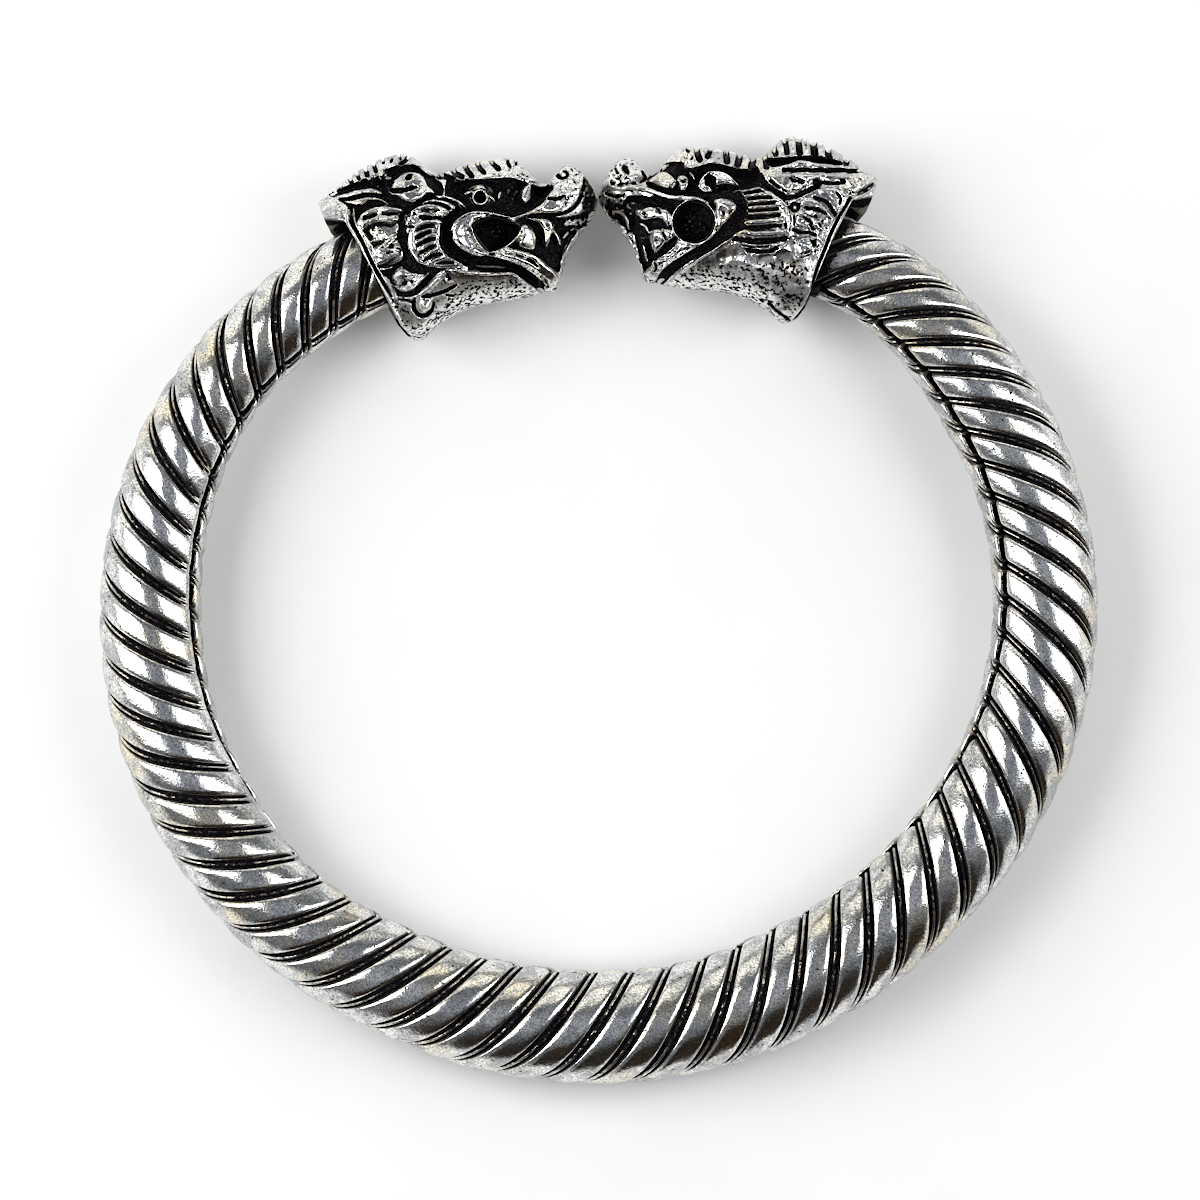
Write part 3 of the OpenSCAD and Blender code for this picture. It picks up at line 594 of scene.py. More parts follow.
    ("plate", 0.34, 0.45, 7.25, 2.7, 7.45, 3.45, 8.1, 4.1, 8.9, 4.48, 9.9, 4.52, 10.9, 4.35, 11.8, 4.15,
     12.5, 4.0, 12.4, 3.5, 11.6, 3.8, 10.7, 4.0, 9.9, 3.8, 9.2, 3.4, 9.0, 2.9, 9.3, 2.1, 9.8, 1.5,
     10.5, 1.2, 9.9, 0.85, 8.8, 1.05, 8.0, 1.6, 7.5, 2.2),
    ("slit", 0.16, 0.5, 8.5, 3.2, 8.5, 2.4, 8.9, 1.7),
    ("ridge", 0.42, 0.2, 7.35, 2.65, 7.55, 3.4, 8.15, 3.98, 9.0, 4.36, 10.0, 4.38, 11.0, 4.2, 12.0, 4.02),
    ("ridge", 0.42, 0.15, 7.38, 2.45, 8.0, 1.7, 8.9, 1.15, 9.8, 0.92),
    ("ridge", 0.42, 0.14, 9.02, 3.2, 9.15, 2.6, 9.5, 1.95, 10.0, 1.4, 10.4, 1.22),
    ("ridge", 0.42, 0.17, 10.3, 1.2, 11.0, 1.35, 11.9, 1.85, 12.6, 2.5, 12.85, 3.0),
    ("plate", 0.32, 0.32, 11.8, 4.0, 12.5, 4.25, 13.4, 4.62, 14.3, 5.15, 14.95, 5.9, 15.6, 6.4, 16.4, 5.8,
     16.4, 4.9, 15.6, 4.3, 14.6, 4.25, 13.5, 4.1, 12.5, 3.72),
    ("rib", 0.12, 0.2, 12.4, 4.0, 13.5, 4.4, 14.4, 4.9, 15.1, 5.6),
    ("plate", 0.4, 0.62, 12.7, 3.35, 13.2, 3.64, 13.8, 3.38, 14.18, 2.7, 14.22, 2.0, 13.95, 1.42,
     13.4, 1.28, 12.8, 1.5, 12.45, 2.0, 12.7, 2.6),
    ("plate", 0.42, 0.34, 13.3, 4.0, 14.2, 4.08, 14.9, 4.05, 15.45, 3.75, 15.6, 3.2, 15.35, 2.4, 14.95, 1.6,
     14.62, 1.95, 14.6, 2.8, 14.3, 3.45, 13.8, 3.7),
    ("slit", 0.12, 0.3, 14.6, 3.7, 15.0, 3.1),
    ("ridge", 0.22, 0.2, 15.5, 2.95, 15.8, 2.4, 15.95, 1.9),
    ("plate", 0.26, 0.42, 10.7, 1.15, 11.8, 1.7, 12.7, 1.62, 13.8, 1.35, 14.6, 0.85, 15.3, 0.15, 15.9, -0.4,
     15.95, -1.25, 15.2, -1.6, 14.8, -1.1, 14.1, -0.5, 13.2, 0.05, 12.2, 0.45, 11.2, 0.75, 10.4, 0.95),
    ("ridge", 0.42, 0.15, 10.2, 1.0, 10.9, 0.88, 11.8, 0.65, 12.7, 0.27, 13.5, -0.15, 14.2, -0.65,
     14.9, -1.3),
    ("slit", 0.22, 0.16, 11.6, 1.15, 12.6, 1.05, 13.6, 0.6, 14.3, 0.1),
    ("slit", 0.5, 0.1, 11.9, 1.72, 12.8, 1.55, 13.6, 1.3, 14.2, 1.05),
    ("slit", 0.3, 0.15, 13.4, 0.75, 13.9, 0.5),
    ("carve", -1.0, 0.42, 7.9, 4.6, 7.05, 3.7, 6.98, 2.8, 7.15, 2.0, 7.75, 1.2, 8.6, 0.58, 9.6, 0.22,
     10.6, 0.1, 11.6, 0.05, 12.6, -0.15, 13.5, -0.78, 14.5, -1.65),
    ("carve", -0.9, 0.42, 14.1, -1.1, 14.45, -1.45),
    ("ridge", -0.45, 0.11, 9.3, 0.15, 10.6, 0.1, 11.7, 0.05),
    ("hole", -2.4, 0.18, 9.08, 3.1, 9.3, 3.6, 9.9, 3.85, 10.7, 4.05, 11.5, 3.9, 12.2, 3.62, 12.75, 3.38,
     12.7, 2.9, 12.35, 2.35, 11.7, 1.8, 11.0, 1.42, 10.4, 1.38, 9.85, 1.85, 9.4, 2.45),
    ("specks", 1.0, 1.2, 10.6, 3.4),
    ("ridge", 0.14, 0.15, 7.6, -0.22, 8.6, -0.4, 10.0, -0.45, 11.4, -0.4, 12.2, -0.42, 13.0, -0.95,
     13.8, -1.7),
    ("slit", 0.12, 0.35, 6.9, -0.4, 7.4, -1.0),
    ("stain", 0.5, 0.5, 6.4, -0.4, 8.3, -0.35, 12.0, -0.45, 12.0, -0.75, 8.4, -1.0, 7.9, -1.6, 6.6, -1.6),
    ("ridge", 0.24, 0.36, 4.8, -2.15, 5.6, -1.6, 6.2, -1.0, 6.8, -0.55),
    ("slit", 0.55, 0.19, 4.45, -2.4, 4.4, -3.2, 4.9, -3.75, 5.6, -3.55, 5.95, -2.7),
    ("ridge", 0.2, 0.26, 5.0, -2.7, 5.1, -3.2, 5.55, -3.1, 5.75, -2.5),
    ("slit", 0.5, 0.16, 5.0, -2.3, 6.0, -2.1, 7.0, -1.75, 7.8, -1.3),
    ("slit", 0.35, 0.14, 3.1, -2.45, 3.9, -2.55, 4.4, -2.8),
    ("slit", 0.3, 0.11, 6.9, -2.1, 7.6, -2.2),
    ("slit", 0.7, 0.2, 15.7, 8.3, 15.75, 7.5, 16.1, 7.15),
    ("slit", 0.4, 0.12, 16.1, 7.15, 16.5, 7.3, 16.5, 7.65, 16.2, 7.75),
    ("carve", -0.45, 0.13, 14.95, 5.58, 15.7, 5.52, 16.35, 5.78),
    ("slit", 0.4, 0.16, 15.0, 4.22, 15.8, 4.28, 16.7, 4.6, 17.4, 5.3, 17.8, 6.4, 17.9, 7.2),
    ("slit", 0.16, 0.5, 16.1, 5.2),
    ("rough", 0.12, 1.1, 18.3, 6.0),
    ("rough", 0.07, 1.6, 17.0, 6.4),
    ("stain", 0.75, 0.25, 17.9, 7.3, 18.5, 7.0, 18.9, 6.0, 18.9, 5.0, 18.3, 4.2, 17.5, 4.2, 17.6, 5.0,
     17.85, 6.2),
    ("plate", -0.1, 0.16, 16.2, 3.4, 16.6, 3.9, 17.3, 4.0, 18.0, 4.1, 17.7, 3.5, 16.9, 3.4),
    ("rough", 0.25, 1.0, 17.2, 3.6),
    ("ridge", 0.25, 0.17, 16.15, 0.9, 16.55, 1.5, 16.9, 2.2),
    ("ridge", 0.15, 0.15, 16.2, 2.4, 16.6, 2.9),
    # Black in the collar's mouth below its end: patina with painted shade where the band goes in
    ("stain", 0.8, 0.3, -2.9, 4.0, -2.2, 4.1, -1.2, 3.9, -0.9, 3.4, -0.6, 2.7, -0.3, 2.2, -1.5, 2.2,
     -3.5, 3.0),
    ("ridge", 0.28, 0.2, -0.88, 4.7, -0.82, 3.7, -0.42, 2.95, 0.1, 2.05, 0.55, 1.1, 1.0, 0.15, 1.5, -0.8,
     2.0, -1.7, 2.45, -2.5, 2.8, -3.3, 3.6, -4.8),
    ("ridge", 0.28, 0.17, -0.38, 4.7, -0.28, 3.75, 0.05, 2.95, 0.5, 2.15, 0.92, 1.25, 1.35, 0.3, 1.8, -0.45,
     2.35, -1.3, 2.85, -2.0),
    ("slit", 0.5, 0.13, -0.62, 4.7, -0.55, 3.7, -0.18, 2.95, 0.3, 2.1, 0.74, 1.18, 1.18, 0.22, 1.65, -0.62,
     2.18, -1.5, 2.65, -2.3),
]

# Relief of side B, worked the same way
SIDE_B = [
    ("sink", -0.5, 0.24, 6.3, 6.95, 7.2, 6.7, 8.5, 7.0, 10.0, 7.4, 11.5, 7.1, 12.2, 7.65, 13.4, 7.6,
     13.9, 7.1, 15.0, 6.5, 15.1, 5.9, 14.2, 5.3, 15.0, 5.0, 16.8, 5.0, 17.6, 4.7, 18.3, 4.9, 18.4, 4.0,
     17.7, 2.6, 16.8, 1.8, 16.3, 0.2, 15.9, -0.4, 15.5, -2.0, 14.5, -2.1, 13.7, -1.2, 12.6, -0.5, 11.0, 0.2,
     9.6, 0.9, 8.7, 1.2, 7.7, 0.6, 6.4, 0.0, 5.4, -0.02, 4.5, 0.5, 3.95, 1.4, 3.75, 2.6, 3.9, 3.5,
     4.1, 3.95, 5.2, 4.6, 5.8, 5.4, 6.0, 6.3),
    ("sink", -1.3, 0.42, 5.5, 7.5, 3.8, 7.5, 2.0, 7.55, 0.6, 7.3, -0.6, 6.85, -1.8, 6.3, -0.4, 6.5,
     0.5, 6.6, 1.5, 6.75, 2.3, 7.0, 3.1, 7.05, 3.9, 6.8, 5.3, 6.72),
    ("edge", 0.25, 0.8),
    ("ridge", 0.14, 0.13, 5.1, 6.6, 3.9, 6.62, 3.0, 6.92, 2.2, 6.85, 1.4, 6.6, 0.4, 6.45, -0.6, 6.52,
     -1.6, 6.45, -2.2, 6.25),
    ("comb", -0.54, 0.14, 4.2, 6.42, 2.5, 6.33, 1.0, 6.2, -0.5, 6.12, -2.0, 6.05, -2.9, 5.98),
    ("comb", -0.48, 0.2, 4.8, 9.0, 4.75, 8.2, 4.7, 7.7),
    ("comb", -0.48, 0.22, 3.9, 9.4, 3.8, 7.8),
    ("comb", -0.48, 0.25, 2.85, 9.5, 2.8, 7.7),
    ("comb", -0.48, 0.28, 1.75, 9.3, 1.6, 7.45),
    ("comb", -0.48, 0.25, 0.55, 9.0, 0.5, 7.2),
    ("comb", -0.48, 0.25, -0.95, 8.4, -0.85, 6.7),
    ("comb", -0.48, 0.16, -2.15, 7.5, -2.05, 6.2),
    ("slit", 0.25, 0.14, 1.15, 8.9, 1.1, 8.1),
    ("slit", 0.25, 0.14, -0.2, 8.5, -0.3, 7.7),
    ("slit", 0.25, 0.12, 2.3, 9.2, 2.25, 8.2),
    ("plate", 0.32, 0.5, 5.75, 6.35, 5.0, 6.45, 4.0, 6.3, 2.5, 6.15, 1.3, 6.02, 1.15, 5.6, 1.9, 5.35,
     2.4, 4.95, 3.2, 4.5, 4.0, 4.42, 4.6, 4.82, 5.2, 5.35, 5.5, 5.8),
    ("slit", 0.35, 0.3, 3.7, 5.75, 3.1, 5.45, 2.6, 5.35),
    ("slit", 0.4, 0.15, 5.3, 5.7, 4.9, 5.2, 4.5, 5.0),
    ("rough", 0.07, 1.3, 3.3, 5.4),
    ("plate", 0.28, 0.42, 1.0, 6.0, 0.3, 5.95, -1.0, 5.82, -3.0, 5.82, -3.4, 5.5, -3.2, 5.1, -2.3, 4.55,
     -1.3, 4.05, -0.9, 4.3, -0.7, 4.9, -0.2, 5.3, 0.5, 5.4, 1.0, 5.6),
    ("rib", 0.12, 0.25, 0.2, 5.75, -1.4, 5.62, -2.9, 5.55),
    ("rough", 0.06, 1.2, -1.6, 4.9),
    ("pit", -0.6, 0.34, 1.6, 5.2),
    ("pit", -0.4, 0.22, -0.45, 5.25),
    ("comb", -0.45, 0.22, 6.1, 6.1, 5.7, 5.4, 4.9, 4.7, 4.25, 4.2),
    ("comb", -0.42, 0.17, 4.3, 4.15, 3.3, 4.3, 2.4, 4.65, 1.6, 4.95),
    ("slit", 0.35, 0.14, 1.3, 5.25, 0.5, 5.15, -0.3, 5.1),
    ("plate", 0.34, 0.5, 1.6, 4.85, 0.8, 4.98, 0.0, 4.88, -0.6, 4.48, -0.9, 3.9, -0.5, 3.3, -0.05, 2.8,
     0.2, 2.5, 0.45, 3.2, 0.9, 3.85, 1.5, 4.25),
    ("comb", -0.3, 0.12, 1.9, 4.1, 1.0, 3.7, 0.6, 3.1, 0.25, 2.4),
    ("slit", 0.35, 0.13, 0.2, 4.5, -0.15, 3.9, -0.05, 3.4),
    ("plate", 0.3, 0.42, 3.2, 3.95, 2.2, 4.15, 1.5, 3.85, 1.0, 3.4, 0.6, 2.75, 0.4, 2.15, 0.9, 2.3,
     1.6, 2.75, 2.4, 3.15, 3.1, 3.3),
    ("comb", -0.24, 0.11, 2.7, 3.35, 1.8, 3.15, 1.1, 2.75),
    ("plate", 0.28, 0.38, 3.6, 2.8, 3.1, 3.1, 2.3, 2.85, 1.6, 2.4, 1.2, 1.8, 1.1, 1.15, 1.7, 1.35, 2.4, 1.6,
     3.1, 1.7, 3.6, 2.1),
    ("slit", 0.3, 0.14, 3.4, 2.75, 2.8, 2.55, 2.3, 2.1),
    ("slit", 0.35, 0.15, 2.4, 2.0, 2.1, 1.6),
    ("slit", 0.3, 0.12, 1.7, 2.1, 1.4, 1.6),
    ("comb", -0.3, 0.12, 3.7, 1.65, 3.2, 1.4, 2.5, 1.35, 2.0, 1.1),
    ("plate", 0.38, 0.6, 3.7, 0.9, 2.9, 1.2, 2.3, 1.1, 2.0, 0.5, 2.2, -0.2, 2.9, -0.6, 3.5, -0.6, 3.8, 0.1),
    ("plate", 0.28, 0.32, 1.9, 1.1, 1.4, 0.9, 1.4, 0.3, 1.8, -0.3, 2.1, -0.1, 1.9, 0.5),
    ("slit", 0.4, 0.13, 2.4, 0.75, 2.1, 0.3),
    ("slit", 0.3, 0.12, 3.0, -0.3, 2.5, -0.1),
    ("rough", 0.07, 1.8, 2.2, 1.2),
    ("carve", -0.4, 0.42, 3.5, 3.42),
    ("ball", 0.22, 0.28, 3.5, 3.38),
    ("plate", 0.1, 0.25, 8.3, 4.95, 7.2, 5.12, 6.1, 5.3, 5.6, 4.95, 4.8, 4.4, 4.1, 3.85, 3.85, 3.0,
     3.85, 2.0, 4.1, 1.2, 4.6, 0.5, 5.4, 0.1, 6.6, 0.15, 7.8, 0.75, 8.8, 1.35, 8.1, 1.9, 7.6, 2.7,
     7.35, 3.5, 7.5, 4.3),
    ("rib", 0.3, 0.36, 5.5, 4.75, 4.7, 4.1, 4.25, 3.3, 4.0, 2.5, 4.2, 1.7, 4.1, 1.1),
    ("slit", 0.5, 0.13, 4.35, 2.15, 4.3, 1.8),
    ("slit", 0.3, 0.12, 4.4, 3.3, 4.1, 2.8),
    ("rib", 0.28, 0.17, 8.2, 4.88, 7.4, 5.0, 6.2, 5.12),
    ("rib", 0.28, 0.19, 7.6, 4.5, 6.4, 4.6, 5.4, 4.5),
    ("rib", 0.28, 0.19, 7.4, 4.05, 6.2, 4.1, 5.0, 4.1),
    ("rib", 0.28, 0.19, 7.3, 3.58, 6.0, 3.62, 4.7, 3.65),
    ("rib", 0.26, 0.16, 7.25, 3.12, 6.0, 3.1, 4.6, 3.15),
    ("rib", 0.3, 0.3, 7.6, 2.42, 6.2, 2.4, 4.6, 2.5),
    ("rib", 0.3, 0.34, 8.3, 1.75, 6.9, 1.48, 5.6, 1.4, 4.5, 1.55),
    ("rib", 0.26, 0.13, 8.3, 1.0, 7.2, 0.62, 6.2, 0.52, 5.5, 0.6),
    ("rib", 0.24, 0.12, 7.6, 0.55, 6.7, 0.3, 5.9, 0.28),
    ("comb", -0.24, 0.09, 7.4, 4.76, 6.4, 4.86, 5.9, 4.82),
    ("comb", -0.24, 0.09, 7.2, 4.28, 6.2, 4.36, 5.3, 4.28),
    ("comb", -0.24, 0.09, 7.2, 3.82, 6.2, 3.86, 5.1, 3.86),
    ("comb", -0.24, 0.09, 7.2, 3.34, 6.2, 3.34, 4.9, 3.38),
    ("comb", -0.27, 0.11, 7.4, 2.84, 6.2, 2.84, 4.8, 2.9),
    ("comb", -0.3, 0.13, 7.9, 2.08, 6.6, 1.98, 5.2, 2.02, 4.7, 2.0),
    ("comb", -0.36, 0.17, 8.7, 1.3, 7.4, 0.98, 6.2, 0.88, 5.0, 0.92, 4.4, 1.0),
    ("comb", -0.18, 0.06, 7.9, 0.7, 6.9, 0.45, 5.8, 0.42),
    ("comb", -0.36, 0.15, 7.5, 0.3, 6.6, 0.08, 5.7, 0.06, 5.2, 0.25),
    ("sink", -0.95, 0.42, 12.4, 7.35, 11.5, 6.9, 10.4, 7.3, 9.4, 7.35, 8.4, 7.05, 7.3, 6.75, 6.3, 6.5,
     6.1, 5.9, 6.4, 5.5, 7.2, 5.28, 8.2, 5.1, 9.8, 4.85, 11.2, 4.85, 12.4, 5.0, 13.2, 5.2, 14.2, 5.5,
     15.0, 6.0, 14.9, 6.7, 14.0, 7.1, 13.8, 7.6, 12.8, 7.7),
    ("plate", 0.14, 0.5, 11.05, 5.5, 10.75, 6.15, 10.15, 6.62, 9.3, 6.66, 8.6, 6.3, 8.05, 5.72, 7.8, 5.42,
     8.5, 5.36, 9.2, 5.45, 9.7, 5.2, 10.5, 5.08),
    ("ridge", 0.26, 0.13, 11.0, 5.5, 10.7, 6.15, 10.1, 6.6, 9.3, 6.6, 8.6, 6.25, 8.1, 5.7, 7.85, 5.42),
    ("ridge", 0.2, 0.11, 11.0, 5.5, 10.5, 5.12, 9.85, 5.18),
    ("pit", -0.9, 0.46, 10.05, 5.92),
    ("pit", -0.6, 0.26, 9.8, 5.42),
    ("plate", 0.4, 0.7, 15.0, 6.4, 14.2, 6.95, 13.4, 6.95, 12.8, 6.5, 12.68, 5.95, 13.1, 5.4, 13.8, 5.5,
     14.6, 5.85, 15.05, 6.15),
    ("slit", 0.35, 0.12, 13.3, 5.45, 12.9, 6.0),
    ("plate", 0.28, 0.3, 12.65, 6.35, 12.3, 6.6, 11.82, 6.45, 11.7, 5.8, 12.0, 5.25, 12.55, 5.3,
     12.62, 5.9),
    ("slit", 0.5, 0.12, 12.5, 6.2, 12.15, 6.0, 11.95, 6.2),
    ("ridge", -0.05, 0.15, 11.6, 6.75, 11.25, 6.1),
    ("specks", 0.5, 0.6, 11.3, 6.8),
    ("ridge", 0.42, 0.3, 18.0, 6.1, 17.2, 5.8, 16.2, 5.85, 15.1, 5.6, 14.1, 5.15, 13.2, 4.82, 12.2, 4.72,
     11.2, 4.58, 10.4, 4.2),
    ("carve", -0.9, 0.34, 16.6, 4.95, 15.6, 4.8, 14.4, 4.45, 13.1, 4.05),
    ("plate", 0.24, 0.34, 16.1, 4.1, 15.2, 4.3, 14.3, 4.2, 13.5, 3.95, 13.25, 3.5, 13.3, 2.8, 13.6, 2.4,
     13.95, 2.8, 14.3, 3.15, 14.9, 3.1, 15.6, 3.1, 16.0, 3.5),
    ("slit", 0.45, 0.11, 14.45, 4.2, 14.3, 3.9, 14.15, 3.6),
    ("ball", 0.5, 0.52, 15.5, 3.7),
    ("pit", 0.05, 0.14, 15.42, 3.68),
    ("ridge", 0.1, 0.16, 15.8, 2.9, 15.4, 2.7, 15.2, 2.2),
    ("plate", 0.38, 0.55, 15.1, 2.4, 14.2, 2.55, 13.4, 2.42, 13.1, 2.0, 13.2, 1.5, 13.8, 1.15, 14.3, 0.6,
     14.8, 0.4, 15.15, 1.0),
    ("slit", 0.3, 0.11, 14.1, 2.45, 14.0, 1.9, 13.7, 1.4),
    ("slit", 0.2, 0.25, 14.5, 1.4),
    ("plate", 0.34, 0.45, 14.9, 0.1, 14.2, 0.4, 13.5, 0.85, 12.95, 1.5, 12.3, 1.3, 11.6, 0.98, 11.8, 0.5,
     12.6, 0.15, 13.6, -0.35, 14.4, -0.95, 14.8, -1.7, 15.4, -2.05, 15.8, -1.9, 15.8, -1.0, 15.3, -0.4),
    ("ridge", 0.42, 0.14, 11.6, 0.72, 12.6, 0.2, 13.6, -0.32, 14.4, -0.92, 14.85, -1.6),
    ("slit", 0.25, 0.16, 12.9, 0.9, 13.6, 0.35, 14.3, -0.05),
    ("slit", 0.45, 0.1, 14.9, -0.15, 14.7, -0.6, 14.9, -1.0),
    ("rough", 0.06, 1.0, 13.3, 0.6),
    ("plate", 0.36, 0.6, 10.0, 4.42, 9.3, 4.66, 8.6, 4.52, 8.05, 4.1, 8.0, 3.4, 8.5, 2.9, 9.1, 2.3,
     9.7, 1.85, 9.98, 2.6, 9.92, 3.3, 9.88, 3.9),
    ("slit", 0.22, 0.4, 9.3, 3.7, 9.1, 3.0),
    ("ridge", 0.34, 0.17, 9.8, 1.9, 10.4, 1.36, 11.1, 0.98, 11.8, 0.95),
    ("ring", 0.3, 0.13, 11.55, 2.75, 1.74),
    ("hole", -1.9, 0.2, 9.95, 2.75, 10.15, 3.57, 10.75, 4.15, 11.55, 4.35, 12.35, 4.15, 12.95, 3.57,
     13.15, 2.75, 12.95, 1.95, 12.35, 1.35, 11.55, 1.15, 10.75, 1.35, 10.15, 1.95),
    ("specks", 1.6, 1.2, 11.6, 2.4),
    ("comb", -0.54, 0.3, 7.95, 4.7, 7.65, 3.9, 7.7, 3.1, 8.2, 2.4, 9.0, 1.72, 10.0, 0.95, 11.0, 0.4,
     11.8, 0.15, 12.7, -0.35, 13.5, -0.92, 14.2, -1.5, 14.6, -1.95),
    ("ridge", 0.26, 0.15, 8.5, 1.3, 9.3, 0.9, 10.1, 0.42, 11.0, -0.02, 12.0, -0.62, 12.9, -1.15,
     13.6, -1.75),
    ("slit", 0.14, 0.6, 9.6, -0.1, 8.2, 0.2, 6.4, -0.6, 5.2, -0.4, 4.4, -0.6, 3.6, -1.8),
    ("stain", 0.42, 0.5, 12.4, -0.9, 11.0, -0.3, 9.6, 0.4, 8.6, 0.8, 7.4, -0.2, 5.6, -0.3, 4.4, 0.4,
     3.6, -0.3, 2.9, -1.0, 2.9, -3.4, 3.4, -3.6, 4.4, -2.5, 5.4, -1.6, 6.6, -1.0, 8.0, -0.6, 9.8, -1.1,
     11.5, -1.2),
    ("ridge", 0.2, 0.3, 2.7, -0.8, 2.6, -1.7, 2.6, -2.6),
    ("slit", 0.35, 0.11, 6.0, -3.8, 5.5, -4.5, 4.8, -5.1, 4.3, -5.5),
    ("slit", 0.3, 0.12, 11.75, 8.6, 11.3, 8.0, 11.5, 7.7),
    ("comb", -0.48, 0.24, 10.95, 9.4, 10.9, 8.2, 10.75, 7.7),
    ("comb", -0.48, 0.18, 9.75, 9.4, 9.82, 8.5, 10.15, 7.85),
    ("comb", -0.48, 0.25, 8.65, 9.3, 8.6, 7.4),
    ("comb", -0.48, 0.26, 7.6, 9.0, 7.55, 7.9, 7.8, 7.05),
    ("comb", -0.48, 0.25, 6.55, 8.6, 6.5, 7.5, 6.75, 6.75),
    ("comb", -0.48, 0.22, 5.55, 8.4, 5.5, 6.75),
    ("rough", 0.1, 1.0, 11.9, 7.9),
    ("rough", 0.06, 1.2, 9.6, 7.9),
    ("ridge", 0.22, 0.16, 17.3, 2.4, 16.6, 1.4, 16.35, 0.5, 16.0, -0.3),
    ("comb", -0.42, 0.2, 16.2, 2.4, 15.95, 1.4, 15.75, 0.2),
    ("ridge", 0.2, 0.13, 15.65, 1.2, 15.5, 0.5, 15.4, -0.1),
    ("slit", 0.35, 0.3, 16.85, 7.6, 16.5, 7.0),
    ("slit", 0.3, 0.12, 17.5, 7.5, 17.3, 7.0),
    ("slit", 0.3, 0.13, 17.9, 6.4, 17.7, 6.15),
    ("slit", 0.4, 0.14, 15.4, 7.1, 15.15, 6.5, 15.6, 6.2),
    ("slit", 0.4, 0.15, 18.4, 5.55, 17.6, 5.2, 16.9, 5.3),
    ("rough", 0.07, 1.3, 17.4, 7.0),
    ("rough", 0.22, 1.3, 17.5, 4.2),
    ("stain", 0.6, 0.3, 18.9, 5.4, 17.6, 5.2, 16.6, 4.8, 16.7, 3.6, 17.3, 2.7, 18.2, 3.4, 18.9, 4.6),
    ("ridge", 0.05, 0.15, 17.9, 4.1, 17.2, 3.85, 16.8, 3.3, 16.7, 2.6),
    ("ridge", 0.26, 0.18, -3.5, 5.2, -2.4, 4.3, -1.3, 3.85, -0.6, 3.1, -0.1, 2.4, 0.35, 1.6, 0.8, 0.7,
     1.2, -0.2, 1.7, -1.2, 2.1, -2.2, 2.4, -3.2, 2.9, -4.4),
    ("ridge", 0.26, 0.16, -0.9, 4.2, -0.3, 3.2, 0.25, 2.4, 0.75, 1.6, 1.15, 0.8, 1.55, -0.1, 2.0, -1.0,
     2.4, -2.0, 2.7, -3.0),
    ("slit", 0.5, 0.13, -1.0, 4.0, -0.45, 3.15, 0.08, 2.4, 0.55, 1.6, 0.98, 0.75, 1.38, -0.15, 1.85, -1.1,
     2.25, -2.1, 2.55, -3.1),
]

# How finely a stroke's curve is followed, how narrow it is at its ends, and how soon it is full
PATH_PIECES = 4
TAPER = 0.5
TAPER_RISE = 1.6
# Power that flattens the floor of a comb's cut or a pit, and the black in a comb's cut and round it
FLAT_FLOOR = 0.5
COMB_BLACK = 1.1
COMB_BLACK_RUN = (1.15, 0.75)
# Distance from the head's outline at which an edge row lets the sunk ground go down again
RISE_FROM = 0.1
# Forms whose points are a closed outline
OUTLINES = ("sink", "plate", "hole", "stain")
# Speckle under rough and specks: wave length, number of waves, edge, lowest, highest
SPECKLE = {"rough": (0.5, 40, 0.4, 0.0, -1.2, 1.2), "specks": (0.42, 60, 0.3, 0.7, 0.0, 1.0)}


def smooth_path(points, closed):
    """Catmull-Rom curve through the points."""
    p = np.array(points, float)
    n = len(p)
    if n == 2 and not closed:
        return p
    if closed:
        back, ahead = np.roll(p, 1, 0), np.roll(p, -1, 0)
        ahead2 = np.roll(ahead, -1, 0)
    else:
        back = np.vstack([2 * p[0] - p[1], p[:-1]])
        ahead = np.vstack([p[1:], 2 * p[-1] - p[-2]])
        ahead2 = np.vstack([ahead[1:], ahead[-1:]])
    t = np.arange(PATH_PIECES)[:, None] / PATH_PIECES
    curve = []
    for a, b, c, d in zip(back, p, ahead, ahead2):
        square, cube = 2 * a - 5 * b + 4 * c - d, 3 * b - a - 3 * c + d
        curve.append(0.5 * (2 * b + (c - a) * t + square * t**2 + cube * t**3))
    if closed:
        return np.vstack(curve + [curve[0][:1]])
    return np.vstack(curve[:-1] + [p[-1:]])


def nearest(path, u, v):
    """Distance of each place from the path, and the share of the path's length at the nearest point."""
    a, d = path[:-1], np.diff(path, axis=0)
    length = np.hypot(d[:, 0], d[:, 1])
    start = np.concatenate([[0], np.cumsum(length)[:-1]])
    du, dv = u[..., None] - a[:, 0], v[..., None] - a[:, 1]
    t = np.clip((du * d[:, 0] + dv * d[:, 1]) / length**2, 0, 1)
    gap = np.hypot(du - t * d[:, 0], dv - t * d[:, 1])
    k = gap.argmin(axis=-1)[..., None]
    share = (start[k] + np.take_along_axis(t, k, -1) * length[k]) / length.sum()
    return np.take_along_axis(gap, k, -1)[..., 0], share[..., 0]


def inside(path, u, v):
    """Whether each place lies within the closed path."""
    hits = np.zeros(u.shape, int)
    for (u0, v0), (u1, v1) in zip(path[:-1], path[1:]):
        if v0 != v1:
            across = (v0 > v) != (v1 > v)
            hits += across & (u < u0 + (v - v0) * (u1 - u0) / (v1 - v0))
    return hits % 2 == 1


def dome(x):
    """Round shoulder: 1 at x 0, falling to 0 at x 1."""
    return np.sqrt(1 - np.clip(x, 0, 1) ** 2)


def stroke_path(form, numbers):
    """Line that a stroke follows, or its closed outline, or its one point."""
    if form == "ring":
        cu, cv, r = numbers
        turns = np.radians(np.arange(0, 361, 15))
        return np.stack([cu + r * np.cos(turns), cv + r * np.sin(turns)], axis=1)
    points = np.reshape(numbers, (-1, 2)).astype(float)
    return points if len(points) == 1 else smooth_path(points, form in OUTLINES)


